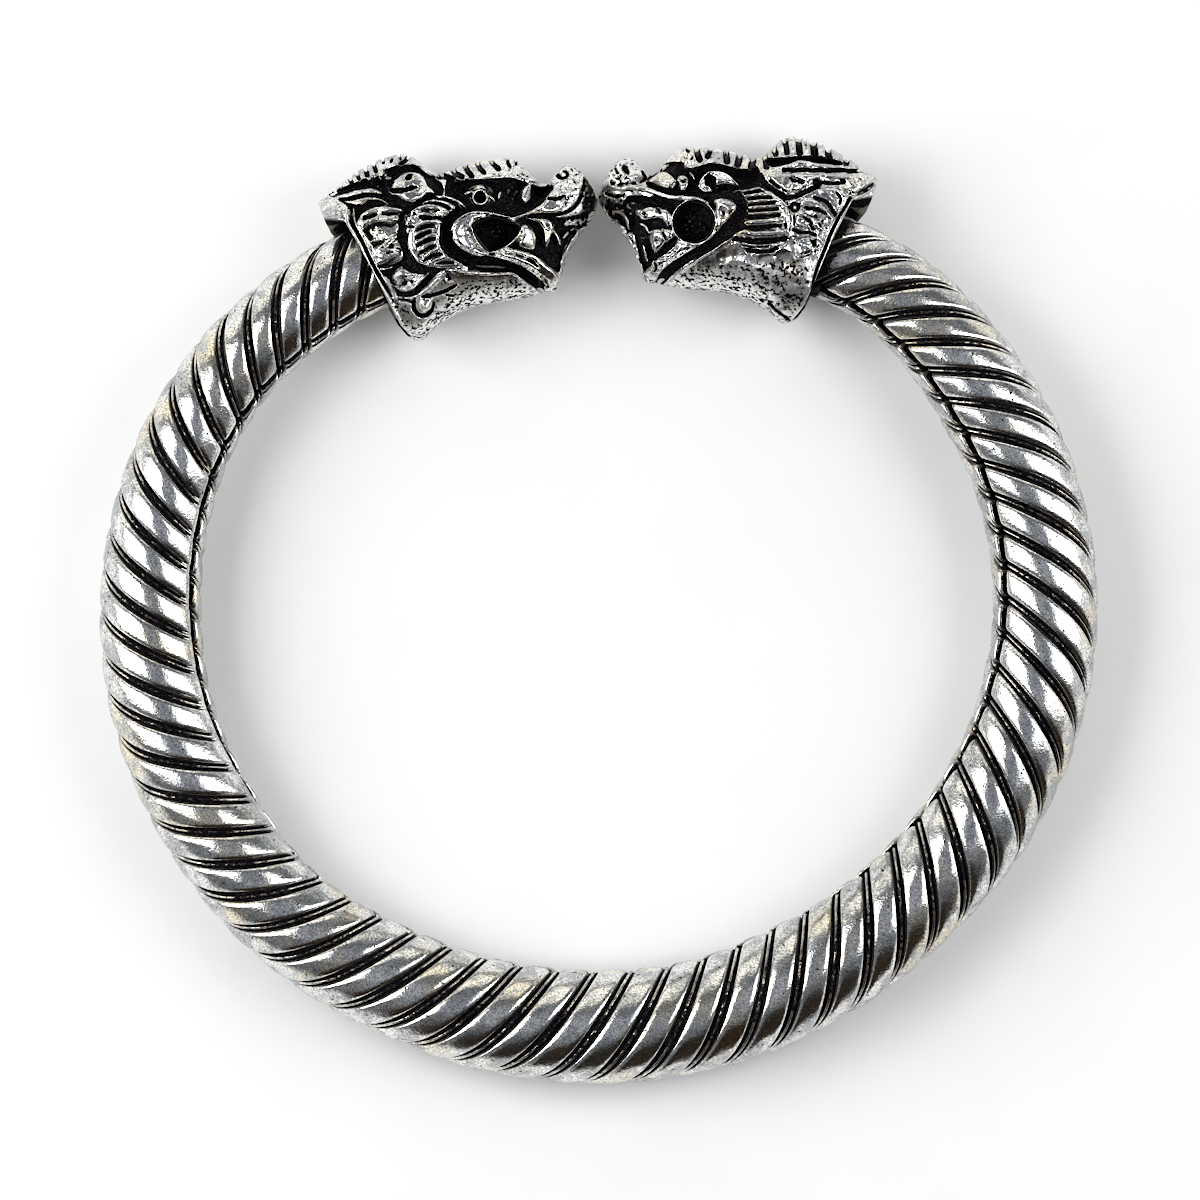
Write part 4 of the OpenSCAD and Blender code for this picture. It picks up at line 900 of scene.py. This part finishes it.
def grid_span(start, low, high):
    """Rows or columns of the grid between two places."""
    return slice(max(0, int((low - start) / STEP)), max(1, int((high - start) / STEP) + 2))


def paint(height, stain, outline, form, level, width, *numbers):
    """Works one row of a relief table into a side's height map, or into its map of black patina and painted
    shade.
    """
    if form == "edge":
        # Toward the outline of the head the sunk ground comes back up, so that no thin rim is left standing
        low = height < 0
        height[low] *= (level + (1 - level) * ramp(outline, RISE_FROM, width))[low]
        return
    path = stroke_path(form, numbers)
    low, high = path.min(0) - width - 2 * STEP, path.max(0) + width + 2 * STEP
    i, j = grid_span(us[0], low[0], high[0]), grid_span(vs[0], low[1], high[1])
    u, v, h = U[i, j], V[i, j], height[i, j]
    if h.size == 0:
        return
    if len(path) == 1:
        gap, share = np.hypot(u - path[0, 0], v - path[0, 1]), np.full(u.shape, 0.5)
    else:
        gap, share = nearest(path, u, v)
    middle = np.clip(4 * share * (1 - share) * TAPER_RISE, 0, 1)
    taper = 1 if form in ("ring", "comb") else TAPER + (1 - TAPER) * middle
    x = gap / (width * taper)
    if form in OUTLINES:
        within = inside(path, u, v)
        rise = np.where(within, ramp(gap, 0, width), 0)
    if form in ("sink", "hole"):
        h[:] = h + (np.minimum(h, level) - h) * rise
    elif form == "stain":
        stain[i, j] = np.maximum(stain[i, j], level * rise)
    elif form == "plate":
        h[:] = np.where(within, np.maximum(h, FOOT + (level - FOOT) * dome(1 - gap / width)), h)
    elif form in ("ridge", "ring"):
        h[:] = np.where(x < 1, np.maximum(h, FOOT + (level - FOOT) * dome(x)), h)
    elif form == "ball":
        h[:] = np.where(gap < width, np.maximum(h, FOOT + (level - FOOT) * dome(gap / width)), h)
    elif form in ("slit", "rib"):
        h[:] = h + (level if form == "rib" else -level) * np.clip(1 - x * x, 0, 1)
    elif form == "carve":
        h[:] = np.where(x < 1, np.minimum(h, level * dome(x)), h)
    elif form == "comb":
        h[:] = np.where(x < 1, np.minimum(h, level * dome(x) ** FLAT_FLOOR), h)
        stain[i, j] = np.maximum(stain[i, j], COMB_BLACK * ramp(x, *COMB_BLACK_RUN))
    elif form == "pit":
        h[:] = np.where(gap < width, np.minimum(h, level * dome(gap / width) ** FLAT_FLOOR), h)
    else:
        length, count, edge, floor, lowest, highest = SPECKLE[form]
        speckle = ripples(np.stack([u, v], -1), length, count) * ramp(width - gap, 0, edge)
        h[:] = h + level * np.clip(speckle - floor, lowest, highest)


def blurred(field, reach):
    """Two box blurs along each axis."""
    k = max(1, int(round(reach / STEP)))
    width = 2 * k + 1
    for _ in range(2):
        for axis in range(field.ndim):
            first, last = field.take([0], axis), field.take([-1], axis)
            padded = np.concatenate([np.repeat(first, k + 1, axis), field, np.repeat(last, k, axis)], axis)
            sums = np.cumsum(padded, axis)
            size = field.shape[axis]
            ahead = sums.take(np.arange(width, width + size), axis)
            field = (ahead - sums.take(np.arange(size), axis)) / width
    return field


# Relief near the outline of the head: how much of it is left there, and from where it is full
OUTLINE_RELIEF = 0.3
OUTLINE_FADE = 0.6
# Unevenness of the casting: height, then wave length and number of waves; and how calm the chin is
DENT_HEIGHT = 0.045
DENT_WAVES = (1.4, 24)
LUMP_HEIGHT = 0.014
LUMP_WAVES = (0.55, 30)
CHIN_CALM = 0.25
CHIN_RUN = (-1.6, 0.2)
# Black in the relief: how far round a place its recess is measured, and the depths over which it comes in
RECESS_REACH = 0.32
RECESS_RUN = (0.06, 0.19)
SUNK_RUN = (0.24, 0.5)
RELIEF_BLACK = 0.9
MOST_STAIN = 1.2


def relief(rows, outline):
    """Height of a side's relief over the plain surface, and how much black is left in it, with painted
    shade where a row paints it.
    """
    height, stain = np.zeros(U.shape), np.zeros(U.shape)
    for row in rows:
        paint(height, stain, outline, *row)
    from_outline = ramp(outline, 0.0, OUTLINE_FADE)
    height *= OUTLINE_RELIEF + (1 - OUTLINE_RELIEF) * from_outline
    # The casting is uneven all over, though less so on the chin
    plane = np.stack([U, V], axis=-1)
    calm = ramp(V, *CHIN_RUN) * (1 - CHIN_CALM) + CHIN_CALM
    uneven = DENT_HEIGHT * calm * ripples(plane, *DENT_WAVES) + LUMP_HEIGHT * ripples(plane, *LUMP_WAVES)
    height += uneven * from_outline
    recess = blurred(height, RECESS_REACH) - height
    stain += RELIEF_BLACK * ramp(recess, *RECESS_RUN) + RELIEF_BLACK * ramp(-height, *SUNK_RUN)
    return height, np.clip(stain, 0, MOST_STAIN)


def sample(field, points):
    """Values of a grid field at points, by straight interpolation."""
    at = np.clip((points - GRID_CORNER) / STEP, 0, np.array(field.shape) - 1.001)
    low = at.astype(int)
    f = at - low
    total = np.zeros(len(points))
    for corner in np.ndindex(2, 2, 2):
        weight = np.prod(np.where(corner, f, 1 - f), axis=1)
        i, j, k = (low + corner).T
        total += weight * field[i, j, k]
    return total


def plain_head():
    """Distance-like field of the plain casting: negative inside."""
    m = read(HEAD, WIDEST, us)[:, None]
    up, down = read(HEAD, CROWN, us)[:, None] - m, m - read(HEAD, CHIN, us)[:, None]
    t = np.abs(vs[None, :] - m) / np.where(vs[None, :] > m, up, down)
    half = HEAD_HALF_W * read(HEAD, HALF_W, us)[:, None, None]
    q = (t[:, :, None] ** SECTION_POWER + (np.abs(ws) / half) ** SECTION_POWER) ** (1 / SECTION_POWER)
    slope = np.sqrt(sum(g * g for g in np.gradient(q, STEP)))
    field = (q - 1) / np.maximum(slope, LEAST_SLOPE)
    field = np.maximum(field, (us - NOSE_TIP)[:, None, None])
    return np.maximum(field, (HEAD_BACK - us)[:, None, None])


# Rounding of a cut edge, and of the edges of the valley between the crests
CUT_ROUND = 0.06
VALLEY_ROUND = 0.25


def cut_away(field, tool, soft=CUT_ROUND):
    """Field without what the tool holds, with its edges rounded by about soft."""
    k = np.clip(0.5 + 0.5 * (field + tool) / soft, 0, 1)
    return field * k - tool * (1 - k) + soft * k * (1 - k)


def polygon_field(corners):
    """Distance from a polygon in the head's plane, negative inside."""
    path = np.array(list(corners) + [corners[0]], float)
    gap, _ = nearest(path, U, V)
    return np.where(inside(path, U, V), -gap, gap)[:, :, None]


def valley():
    """Wedge between the two crests, as a field over the grid: negative inside."""
    crown = read(HEAD, CROWN, us)
    depth, half = read(VALLEY, 1, us), read(VALLEY, 2, us)
    slope = (half / (depth + 1))[:, None, None]
    above = (vs[None, :] - (crown - depth)[:, None])[:, :, None]
    return (np.abs(ws) - slope * above) / np.sqrt(1 + slope**2)


def carved_head():
    """The casting before its socket is bored, with the black in it and the depth of each place."""
    body = plain_head()
    outline = -body[:, :, len(ws) // 2]
    height_a, stain_and_shade_a = relief(SIDE_A, outline)
    height_b, stain_b = relief(SIDE_B, outline)
    share_a = ramp(ws, -SIDES_MEET, SIDES_MEET)
    height = height_a[:, :, None] * share_a + height_b[:, :, None] * (1 - share_a)
    stain = stain_and_shade_a[:, :, None] * share_a + stain_b[:, :, None] * (1 - share_a)
    field = cut_away(body - height, valley(), VALLEY_ROUND)
    field = np.maximum(field, np.abs(ws) - HEAD_REACH)
    return field, stain, height - body


def to_ring(points, head):
    """Points of a head's own frame in the level ring."""
    turn, way = np.radians(head["turn"]), head["way"]
    u, v, w = points[..., 0] * way, points[..., 1], points[..., 2] * way
    x = u * np.cos(turn) - v * np.sin(turn) + head["at"][0]
    y = u * np.sin(turn) + v * np.cos(turn) + head["at"][1]
    return np.stack([x, y, w], axis=-1)


def bore(field, head):
    """Cuts off the collar's back and bores the socket, which opens into a wide mouth round the tube."""
    low_side = ramp(-ws * head["way"], *COLLAR_CHANGE)
    collar = polygon_field(COLLAR_CUT) * (1 - low_side) + polygon_field(COLLAR_CUT_BELOW) * low_side
    field = cut_away(field, collar)
    flat = to_ring(np.stack([U, V, np.zeros_like(U)], axis=-1), head)[..., :2]
    angles = head["mouth"] + head["way"] * np.linspace(*SOCKET_LINE, SOCKET_STEPS)
    gap, share = nearest(centre(angles), flat[..., 0], flat[..., 1])
    angle = np.interp(share, np.linspace(0, 1, len(angles)), angles)
    inward = head["way"] * (angle - head["mouth"]) * np.radians(1) * SOCKET_RING
    loose = SOCKET_GAP + SOCKET_FLARE * ramp(-inward, *FLARE_RUN)
    tube = np.sqrt(gap[:, :, None] ** 2 + ws**2) - (tube_r(angle) + loose)[:, :, None]
    end = (inward - np.radians(INSERTED + SOCKET_SPARE) * SOCKET_RING)[:, :, None]
    tube = np.maximum(tube, end)
    return cut_away(field, tube), tube


# Black in narrow and in wide hollows: how far round a place is looked, how black, and at which sags
NARROW, NARROW_BLACK, NARROW_RUN = 0.3, 0.9, (0.035, 0.145)
WIDE, WIDE_BLACK, WIDE_RUN = 0.75, 0.45, (0.07, 0.28)
# Black in the socket, then by depth below the carved skin, patina with painted shade in these gaps and cut
# faces, and the bulge at which an edge wears bright
SOCKET_BLACK_AND_SHADE, SOCKET_RUN = 1.2, (-0.12, 0.1)
UNDER_BLACK_AND_SHADE_RUN = (0.15, 0.6)
EDGE_RUN = (0.02, 0.10)
# The chin and the nose were left rough from the mould: from where on, and how rough the nose is
CHIN_PITS = (0.3, 1.2)
NOSE_PITS, NOSE_PITTED = (15.0, 16.2), 0.8


def head_patina_and_shade(spots, bored, stain, tube, under):
    """Black at each point: patina in every hollow and in the stained places, and patina with painted shade
    in the socket, on faces cut below the carved skin and in the collar's mouth. Then its wear.
    """
    near, wide = (sample(blurred(bored, reach), spots) for reach in (NARROW, WIDE))
    hollow = NARROW_BLACK * ramp(-near, *NARROW_RUN) + WIDE_BLACK * ramp(-wide, *WIDE_RUN)
    patina_and_shade = hollow + sample(stain, spots) + SOCKET_BLACK_AND_SHADE * ramp(-sample(tube, spots), *SOCKET_RUN)
    # Faces cut below the carved skin, such as under the collar's end, go black: patina with painted shade
    patina_and_shade += ramp(sample(under, spots), *UNDER_BLACK_AND_SHADE_RUN)
    return np.clip(patina_and_shade, 0, 1), ramp(near, *EDGE_RUN)


def build_head(side, head, carved):
    """Casting of one side: skin of the carved and bored field, with fewer triangles where it is smooth."""
    field, stain, under = carved
    bored, tube = bore(field, head)
    grid = openvdb.FloatGrid(background=1.0)
    grid.copyFromArray(bored.astype(np.float32), tolerance=0.0)
    corners, quads = grid.convertToQuads(isovalue=0.0)
    name = "cast_head_" + side
    thing = make_mesh(name, corners * STEP + GRID_CORNER, quads.astype(int))
    thin = thing.modifiers.new("thin", "DECIMATE")
    thin.ratio = min(1.0, HEAD_TRIANGLES / (2 * len(quads)))
    mesh = bpy.data.meshes.new_from_object(thing.evaluated_get(bpy.context.evaluated_depsgraph_get()))
    thing.modifiers.clear()
    thing.data = mesh
    mesh.name = name
    close_up(mesh)
    spots = np.empty(len(mesh.vertices) * 3, np.float32)
    mesh.vertices.foreach_get("co", spots)
    spots = spots.reshape(-1, 3).astype(float)
    patina_and_shade, wear = head_patina_and_shade(spots, bored, stain, tube, under)
    pitted = np.maximum(ramp(-spots[:, 1], *CHIN_PITS), NOSE_PITTED * ramp(spots[:, 0], *NOSE_PITS))
    add_field(mesh, "patina_and_shade", patina_and_shade)
    add_field(mesh, "wear", wear)
    add_field(mesh, "pitted", pitted)
    mesh.vertices.foreach_set("co", place(to_ring(spots, head)).astype(np.float32).ravel())
    mesh.polygons.foreach_set("use_smooth", np.ones(len(mesh.polygons), bool))
    mesh.update()
    return thing


class Nodes:
    """Short way to build a node tree: each call adds a node, links its inputs and returns it."""

    def __init__(self, tree):
        self.tree = tree
        tree.nodes.clear()

    def put(self, node, key, value):
        if hasattr(value, "is_output"):
            self.tree.links.new(value, node.inputs[key])
        else:
            node.inputs[key].default_value = value

    def add(self, kind, inputs=None, **settings):
        node = self.tree.nodes.new(kind)
        for key, value in settings.items():
            setattr(node, key, value)
        for key, value in (inputs or {}).items():
            self.put(node, key, value)
        return node

    def field(self, name):
        return self.add("ShaderNodeAttribute", attribute_name=name).outputs["Fac"]

    def coordinates(self, kind="Object"):
        return self.add("ShaderNodeTexCoord").outputs[kind]

    def math(self, operation, a, b):
        return self.add("ShaderNodeMath", {0: a, 1: b}, operation=operation).outputs[0]

    def plus(self, a, b, share=1.0):
        """a, and a share of b."""
        return self.math("ADD", a, b if share == 1.0 else self.math("MULTIPLY", b, share))

    def span(self, value, low, high, to_low=0.0, to_high=1.0, kind="SMOOTHSTEP"):
        inputs = {"Value": value, "From Min": low, "From Max": high, "To Min": to_low, "To Max": to_high}
        return self.add("ShaderNodeMapRange", inputs, interpolation_type=kind).outputs["Result"]

    def noise(self, where, scale, detail=3.0, roughness=0.55):
        inputs = {"Vector": where, "Scale": scale, "Detail": detail, "Roughness": roughness}
        return self.add("ShaderNodeTexNoise", inputs).outputs["Fac"]

    def blend(self, share, a, b, kind="MIX"):
        node = self.add("ShaderNodeMix", data_type="RGBA", blend_type=kind)
        for key, value in ((0, share), (6, a), (7, b)):
            self.put(node, key, value)
        return node.outputs[2]


# Colours of the metal: clean, whiter on the rough chin and nose with painted sheen, yellowed, dulled, then
# brown, black, and grey specks that are partly texture and partly painted glints in its recesses
SILVER = (0.86, 0.855, 0.83, 1)
SILVER_MATTE_AND_SHEEN = (0.96, 0.955, 0.925, 1)
SILVER_WARM = (0.82, 0.765, 0.64, 1)
SILVER_GREY = (0.54, 0.55, 0.55, 1)
BROWN = (0.42, 0.36, 0.28, 1)
BLACK = (0.0020, 0.0017, 0.0024, 1)
SPECKS_AND_GLINTS = (0.045, 0.040, 0.048, 1)
BUMP_HEIGHT = 0.2 * MM
CHIN_ROUGHNESS = 0.38
BLACK_ROUGHNESS = 0.5
# Noises fine, dots, grain, cloud and tint, the first a seventh of a millimetre across, the last several.
# waves per metre, detail, roughness
NOISES = ((6500, 2.0, 0.65), (3000, 2.5, 0.65), (2300, 3.0, 0.6), (520, 3.0, 0.55), (170, 2.0, 0.5))


def antique_silver(name, speckle, rough_low, rough_high, bump_strength):
    """Polished silver with black left in every recess, fine pits, faint tints and a fine grain."""
    material = bpy.data.materials.new(name)
    material.use_nodes = True
    n = Nodes(material.node_tree)
    where = n.coordinates()
    # The first field holds black patina, with painted shade beside the heads, in their sockets and in the
    # collar's mouth
    patina_and_shade, wear, pitted = n.field("patina_and_shade"), n.field("wear"), n.field("pitted")
    fine, dots, grain, cloud, tint = (n.noise(where, *kind) for kind in NOISES)
    # Black: all of a deep recess, ragged at its edge, and small pits elsewhere
    ragged = n.plus(patina_and_shade, n.math("SUBTRACT", grain, 0.5), 0.8)
    ragged = n.plus(ragged, n.math("SUBTRACT", fine, 0.5), 0.7)
    recess = n.span(ragged, 0.44, 0.60)
    pit_level = n.plus(n.math("MULTIPLY", pitted, 0.124), cloud, 0.10)
    pits = n.span(n.plus(dots, pit_level), speckle, speckle + 0.02)
    black = n.math("MULTIPLY", n.math("MAXIMUM", recess, pits), n.span(wear, 0.2, 0.9, 1.0, 0.6))
    # Silver: warm and grey clouds, a fine dull grain, a whiter chin for its rough finish and as painted
    # sheen, and brown towards the recesses
    colour = n.blend(n.span(tint, 0.48, 0.64), SILVER, SILVER_WARM)
    colour = n.blend(n.span(n.plus(cloud, grain, 0.5), 0.66, 0.86), colour, SILVER_GREY)
    colour = n.blend(1.0, colour, n.span(fine, 0.38, 0.66, 1.12, 0.52, "LINEAR"), "MULTIPLY")
    colour = n.blend(n.math("MULTIPLY", pitted, 0.6), colour, SILVER_MATTE_AND_SHEEN)
    colour = n.blend(n.span(patina_and_shade, 0.06, 0.55, 0.0, 0.72), colour, BROWN, "MULTIPLY")
    # Black with grey specks in it, partly its texture and partly painted glints
    colour = n.blend(black, colour, n.blend(n.span(fine, 0.50, 0.72), BLACK, SPECKS_AND_GLINTS))
    metal = n.math("SUBTRACT", 1.0, black)
    rough = n.span(n.plus(cloud, fine, 0.35), 0.5, 0.85, rough_low, rough_high)
    rough = n.math("MAXIMUM", rough, n.math("MULTIPLY", pitted, CHIN_ROUGHNESS))
    rough = n.plus(n.math("MULTIPLY", rough, metal), black, BLACK_ROUGHNESS)
    height = n.plus(n.math("MULTIPLY", fine, 0.5), grain, 0.7)
    bump = n.add("ShaderNodeBump", {"Height": height, "Strength": bump_strength, "Distance": BUMP_HEIGHT})
    shader = n.add("ShaderNodeBsdfPrincipled", {
        "Base Color": colour, "Metallic": metal, "Roughness": rough, "Normal": bump.outputs[0],
        "Specular IOR Level": 0.04,
    })
    n.add("ShaderNodeOutputMaterial", {"Surface": shader.outputs[0]})
    return material


def finish_piece(piece, node, material):
    """Gives a piece its material, hides the CAD node it stands for, and hangs it under the root body."""
    piece.data.materials.clear()
    piece.data.materials.append(material)
    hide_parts(node)
    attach(piece, "root")


rolled = antique_silver("rolled_silver", 0.71, 0.085, 0.22, 0.14)
cast = antique_silver("cast_silver", 0.70, 0.09, 0.24, 0.15)
finish_piece(build_band(), "band", rolled)
carved = carved_head()
for side, head in HEADS.items():
    finish_piece(build_head(side, head, carved), "head_" + side, cast)


# Floor: half of its width, in metres
FLOOR_HALF = 1.2


def build_floor():
    """White paper, all round the part."""
    corners = np.array([(-1, -1, 0), (1, -1, 0), (1, 1, 0), (-1, 1, 0)], float) * FLOOR_HALF
    floor = make_mesh("floor", corners, np.array([[0, 1, 2, 3]]))
    material = bpy.data.materials.new("white_paper")
    material.use_nodes = True
    n = Nodes(material.node_tree)
    tone = n.span(n.noise(n.coordinates(), 60), 0.3, 0.7, 0.90, 0.93)
    paper = {"Base Color": tone, "Roughness": 0.9, "Specular IOR Level": 0.1}
    shader = n.add("ShaderNodeBsdfPrincipled", paper)
    n.add("ShaderNodeOutputMaterial", {"Surface": shader.outputs[0]})
    floor.data.materials.append(material)


# Two soft boxes stand beside the ring: middle, tilt in degrees, length up the slope, width, brightness
SOFT_BOXES = {
    "soft_box_left": ((-0.287, 0.030, 0.217), -33, 0.367, 0.250, 3.9),
    "soft_box_right": ((0.340, 0.032, 0.250), 45, 0.452, 0.250, 3.0),
}


def build_soft_boxes():
    """Both light the floor, and leave a pair of white glints along each strand."""
    for name, (middle, tilt, length, width, brightness) in SOFT_BOXES.items():
        data = bpy.data.lights.new(name, "AREA")
        data.shape = "RECTANGLE"
        data.size = length
        data.size_y = width
        data.energy = brightness * length * width * np.pi
        box = bpy.data.objects.new(name, data)
        box.location = middle
        box.rotation_euler = (0, np.radians(tilt), 0)
        bpy.context.scene.collection.objects.link(box)


# Light that comes from all round: the room above, the brighter band below a height, and soft-edged patches,
# each with its direction, radius in degrees, softness and colour
ROOM = (0.21, 0.22, 0.235, 1)
HORIZON = (0.86, 0.86, 0.85, 1)
HORIZON_TOP = (0.22, 0.10)
PATCHES = [
    ((0.0, 0.0, 1.0), 22, 3, (0.33, 0.345, 0.385)),
    ((0.17, -0.93, 0.31), 33, 6, (0.040, 0.030, 0.022)),
    ((0.0, 0.95, 0.30), 23, 5, (1.12, 1.09, 1.00)),
    ((-0.55, 0.83, 0.20), 21, 5, (1.10, 1.08, 1.00)),
]


def build_world():
    """Pale studio that the metal mirrors."""
    world = bpy.data.worlds.new("studio")
    bpy.context.scene.world = world
    world.use_nodes = True
    n = Nodes(world.node_tree)
    way = n.coordinates("Generated")
    height = n.add("ShaderNodeSeparateXYZ", {0: way}).outputs[2]
    colour = n.blend(n.span(height, *HORIZON_TOP), ROOM, HORIZON)
    for direction, radius, soft, shade in PATCHES:
        aim = np.array(direction) / np.linalg.norm(direction)
        facing = n.add("ShaderNodeVectorMath", {0: way, 1: tuple(aim)}, operation="DOT_PRODUCT")
        outer, inner = np.cos(np.radians([radius + soft, radius]))
        patch = n.span(facing.outputs["Value"], float(outer), float(inner))
        colour = n.blend(patch, colour, (*shade, 1))
    light = n.add("ShaderNodeBackground", {"Color": colour, "Strength": 1.0})
    n.add("ShaderNodeOutputWorld", {"Surface": light.outputs[0]})


# The photograph was taken from straight above: 1200 pixels of 0.08 mm
PHOTO_PIXELS = 1200
PIXEL = 0.08 * MM
CAMERA_HEIGHT = 0.60
PHOTO_CENTRE = (-0.06 * MM, 1.01 * MM)
RING_HEIGHT = LIFT * MM


def build_camera():
    """Camera whose frame, at the height of the ring's middle, is as wide as the photograph."""
    data = bpy.data.cameras.new("camera")
    data.sensor_fit = "HORIZONTAL"
    data.angle = 2 * np.arctan(PHOTO_PIXELS * PIXEL / 2 / (CAMERA_HEIGHT - RING_HEIGHT))
    camera = bpy.data.objects.new("camera", data)
    camera.location = (*PHOTO_CENTRE, CAMERA_HEIGHT)
    bpy.context.scene.collection.objects.link(camera)
    bpy.context.scene.camera = camera


# The photograph has strong contrast and crisp edges: light before and after, both linear
CONTRAST = [
    (0.0, 0.0), (0.015, 0.0125), (0.06, 0.056), (0.17, 0.165), (0.36, 0.375), (0.60, 0.655), (0.82, 0.92),
    (1.0, 1.06)]
CRISPNESS = 0.11


def build_contrast():
    """Contrast curve and a slight sharpening over the whole picture."""
    scene = bpy.context.scene
    scene.use_nodes = True
    n = Nodes(scene.node_tree)
    picture = n.add("CompositorNodeRLayers").outputs["Image"]
    curves = n.add("CompositorNodeCurveRGB", {"Image": picture})
    mapping = curves.mapping
    mapping.use_clip = False
    combined = mapping.curves[3]
    for point in CONTRAST[1:-1]:
        combined.points.new(*point)
    combined.points[-1].location = CONTRAST[-1]
    mapping.update()
    contrasted = {"Image": curves.outputs[0], "Fac": CRISPNESS}
    crisp = n.add("CompositorNodeFilter", contrasted, filter_type="SHARPEN_DIAMOND")
    n.add("CompositorNodeComposite", {"Image": crisp.outputs[0]})


def set_bounces():
    """Light seldom bounces more than twice between a cuff and its floor."""
    cycles = bpy.context.scene.cycles
    cycles.max_bounces = 4
    cycles.diffuse_bounces = 2
    cycles.glossy_bounces = 3


build_floor()
build_world()
build_soft_boxes()
build_camera()
build_contrast()
set_bounces()
bpy.context.scene.view_settings.view_transform = "Standard"
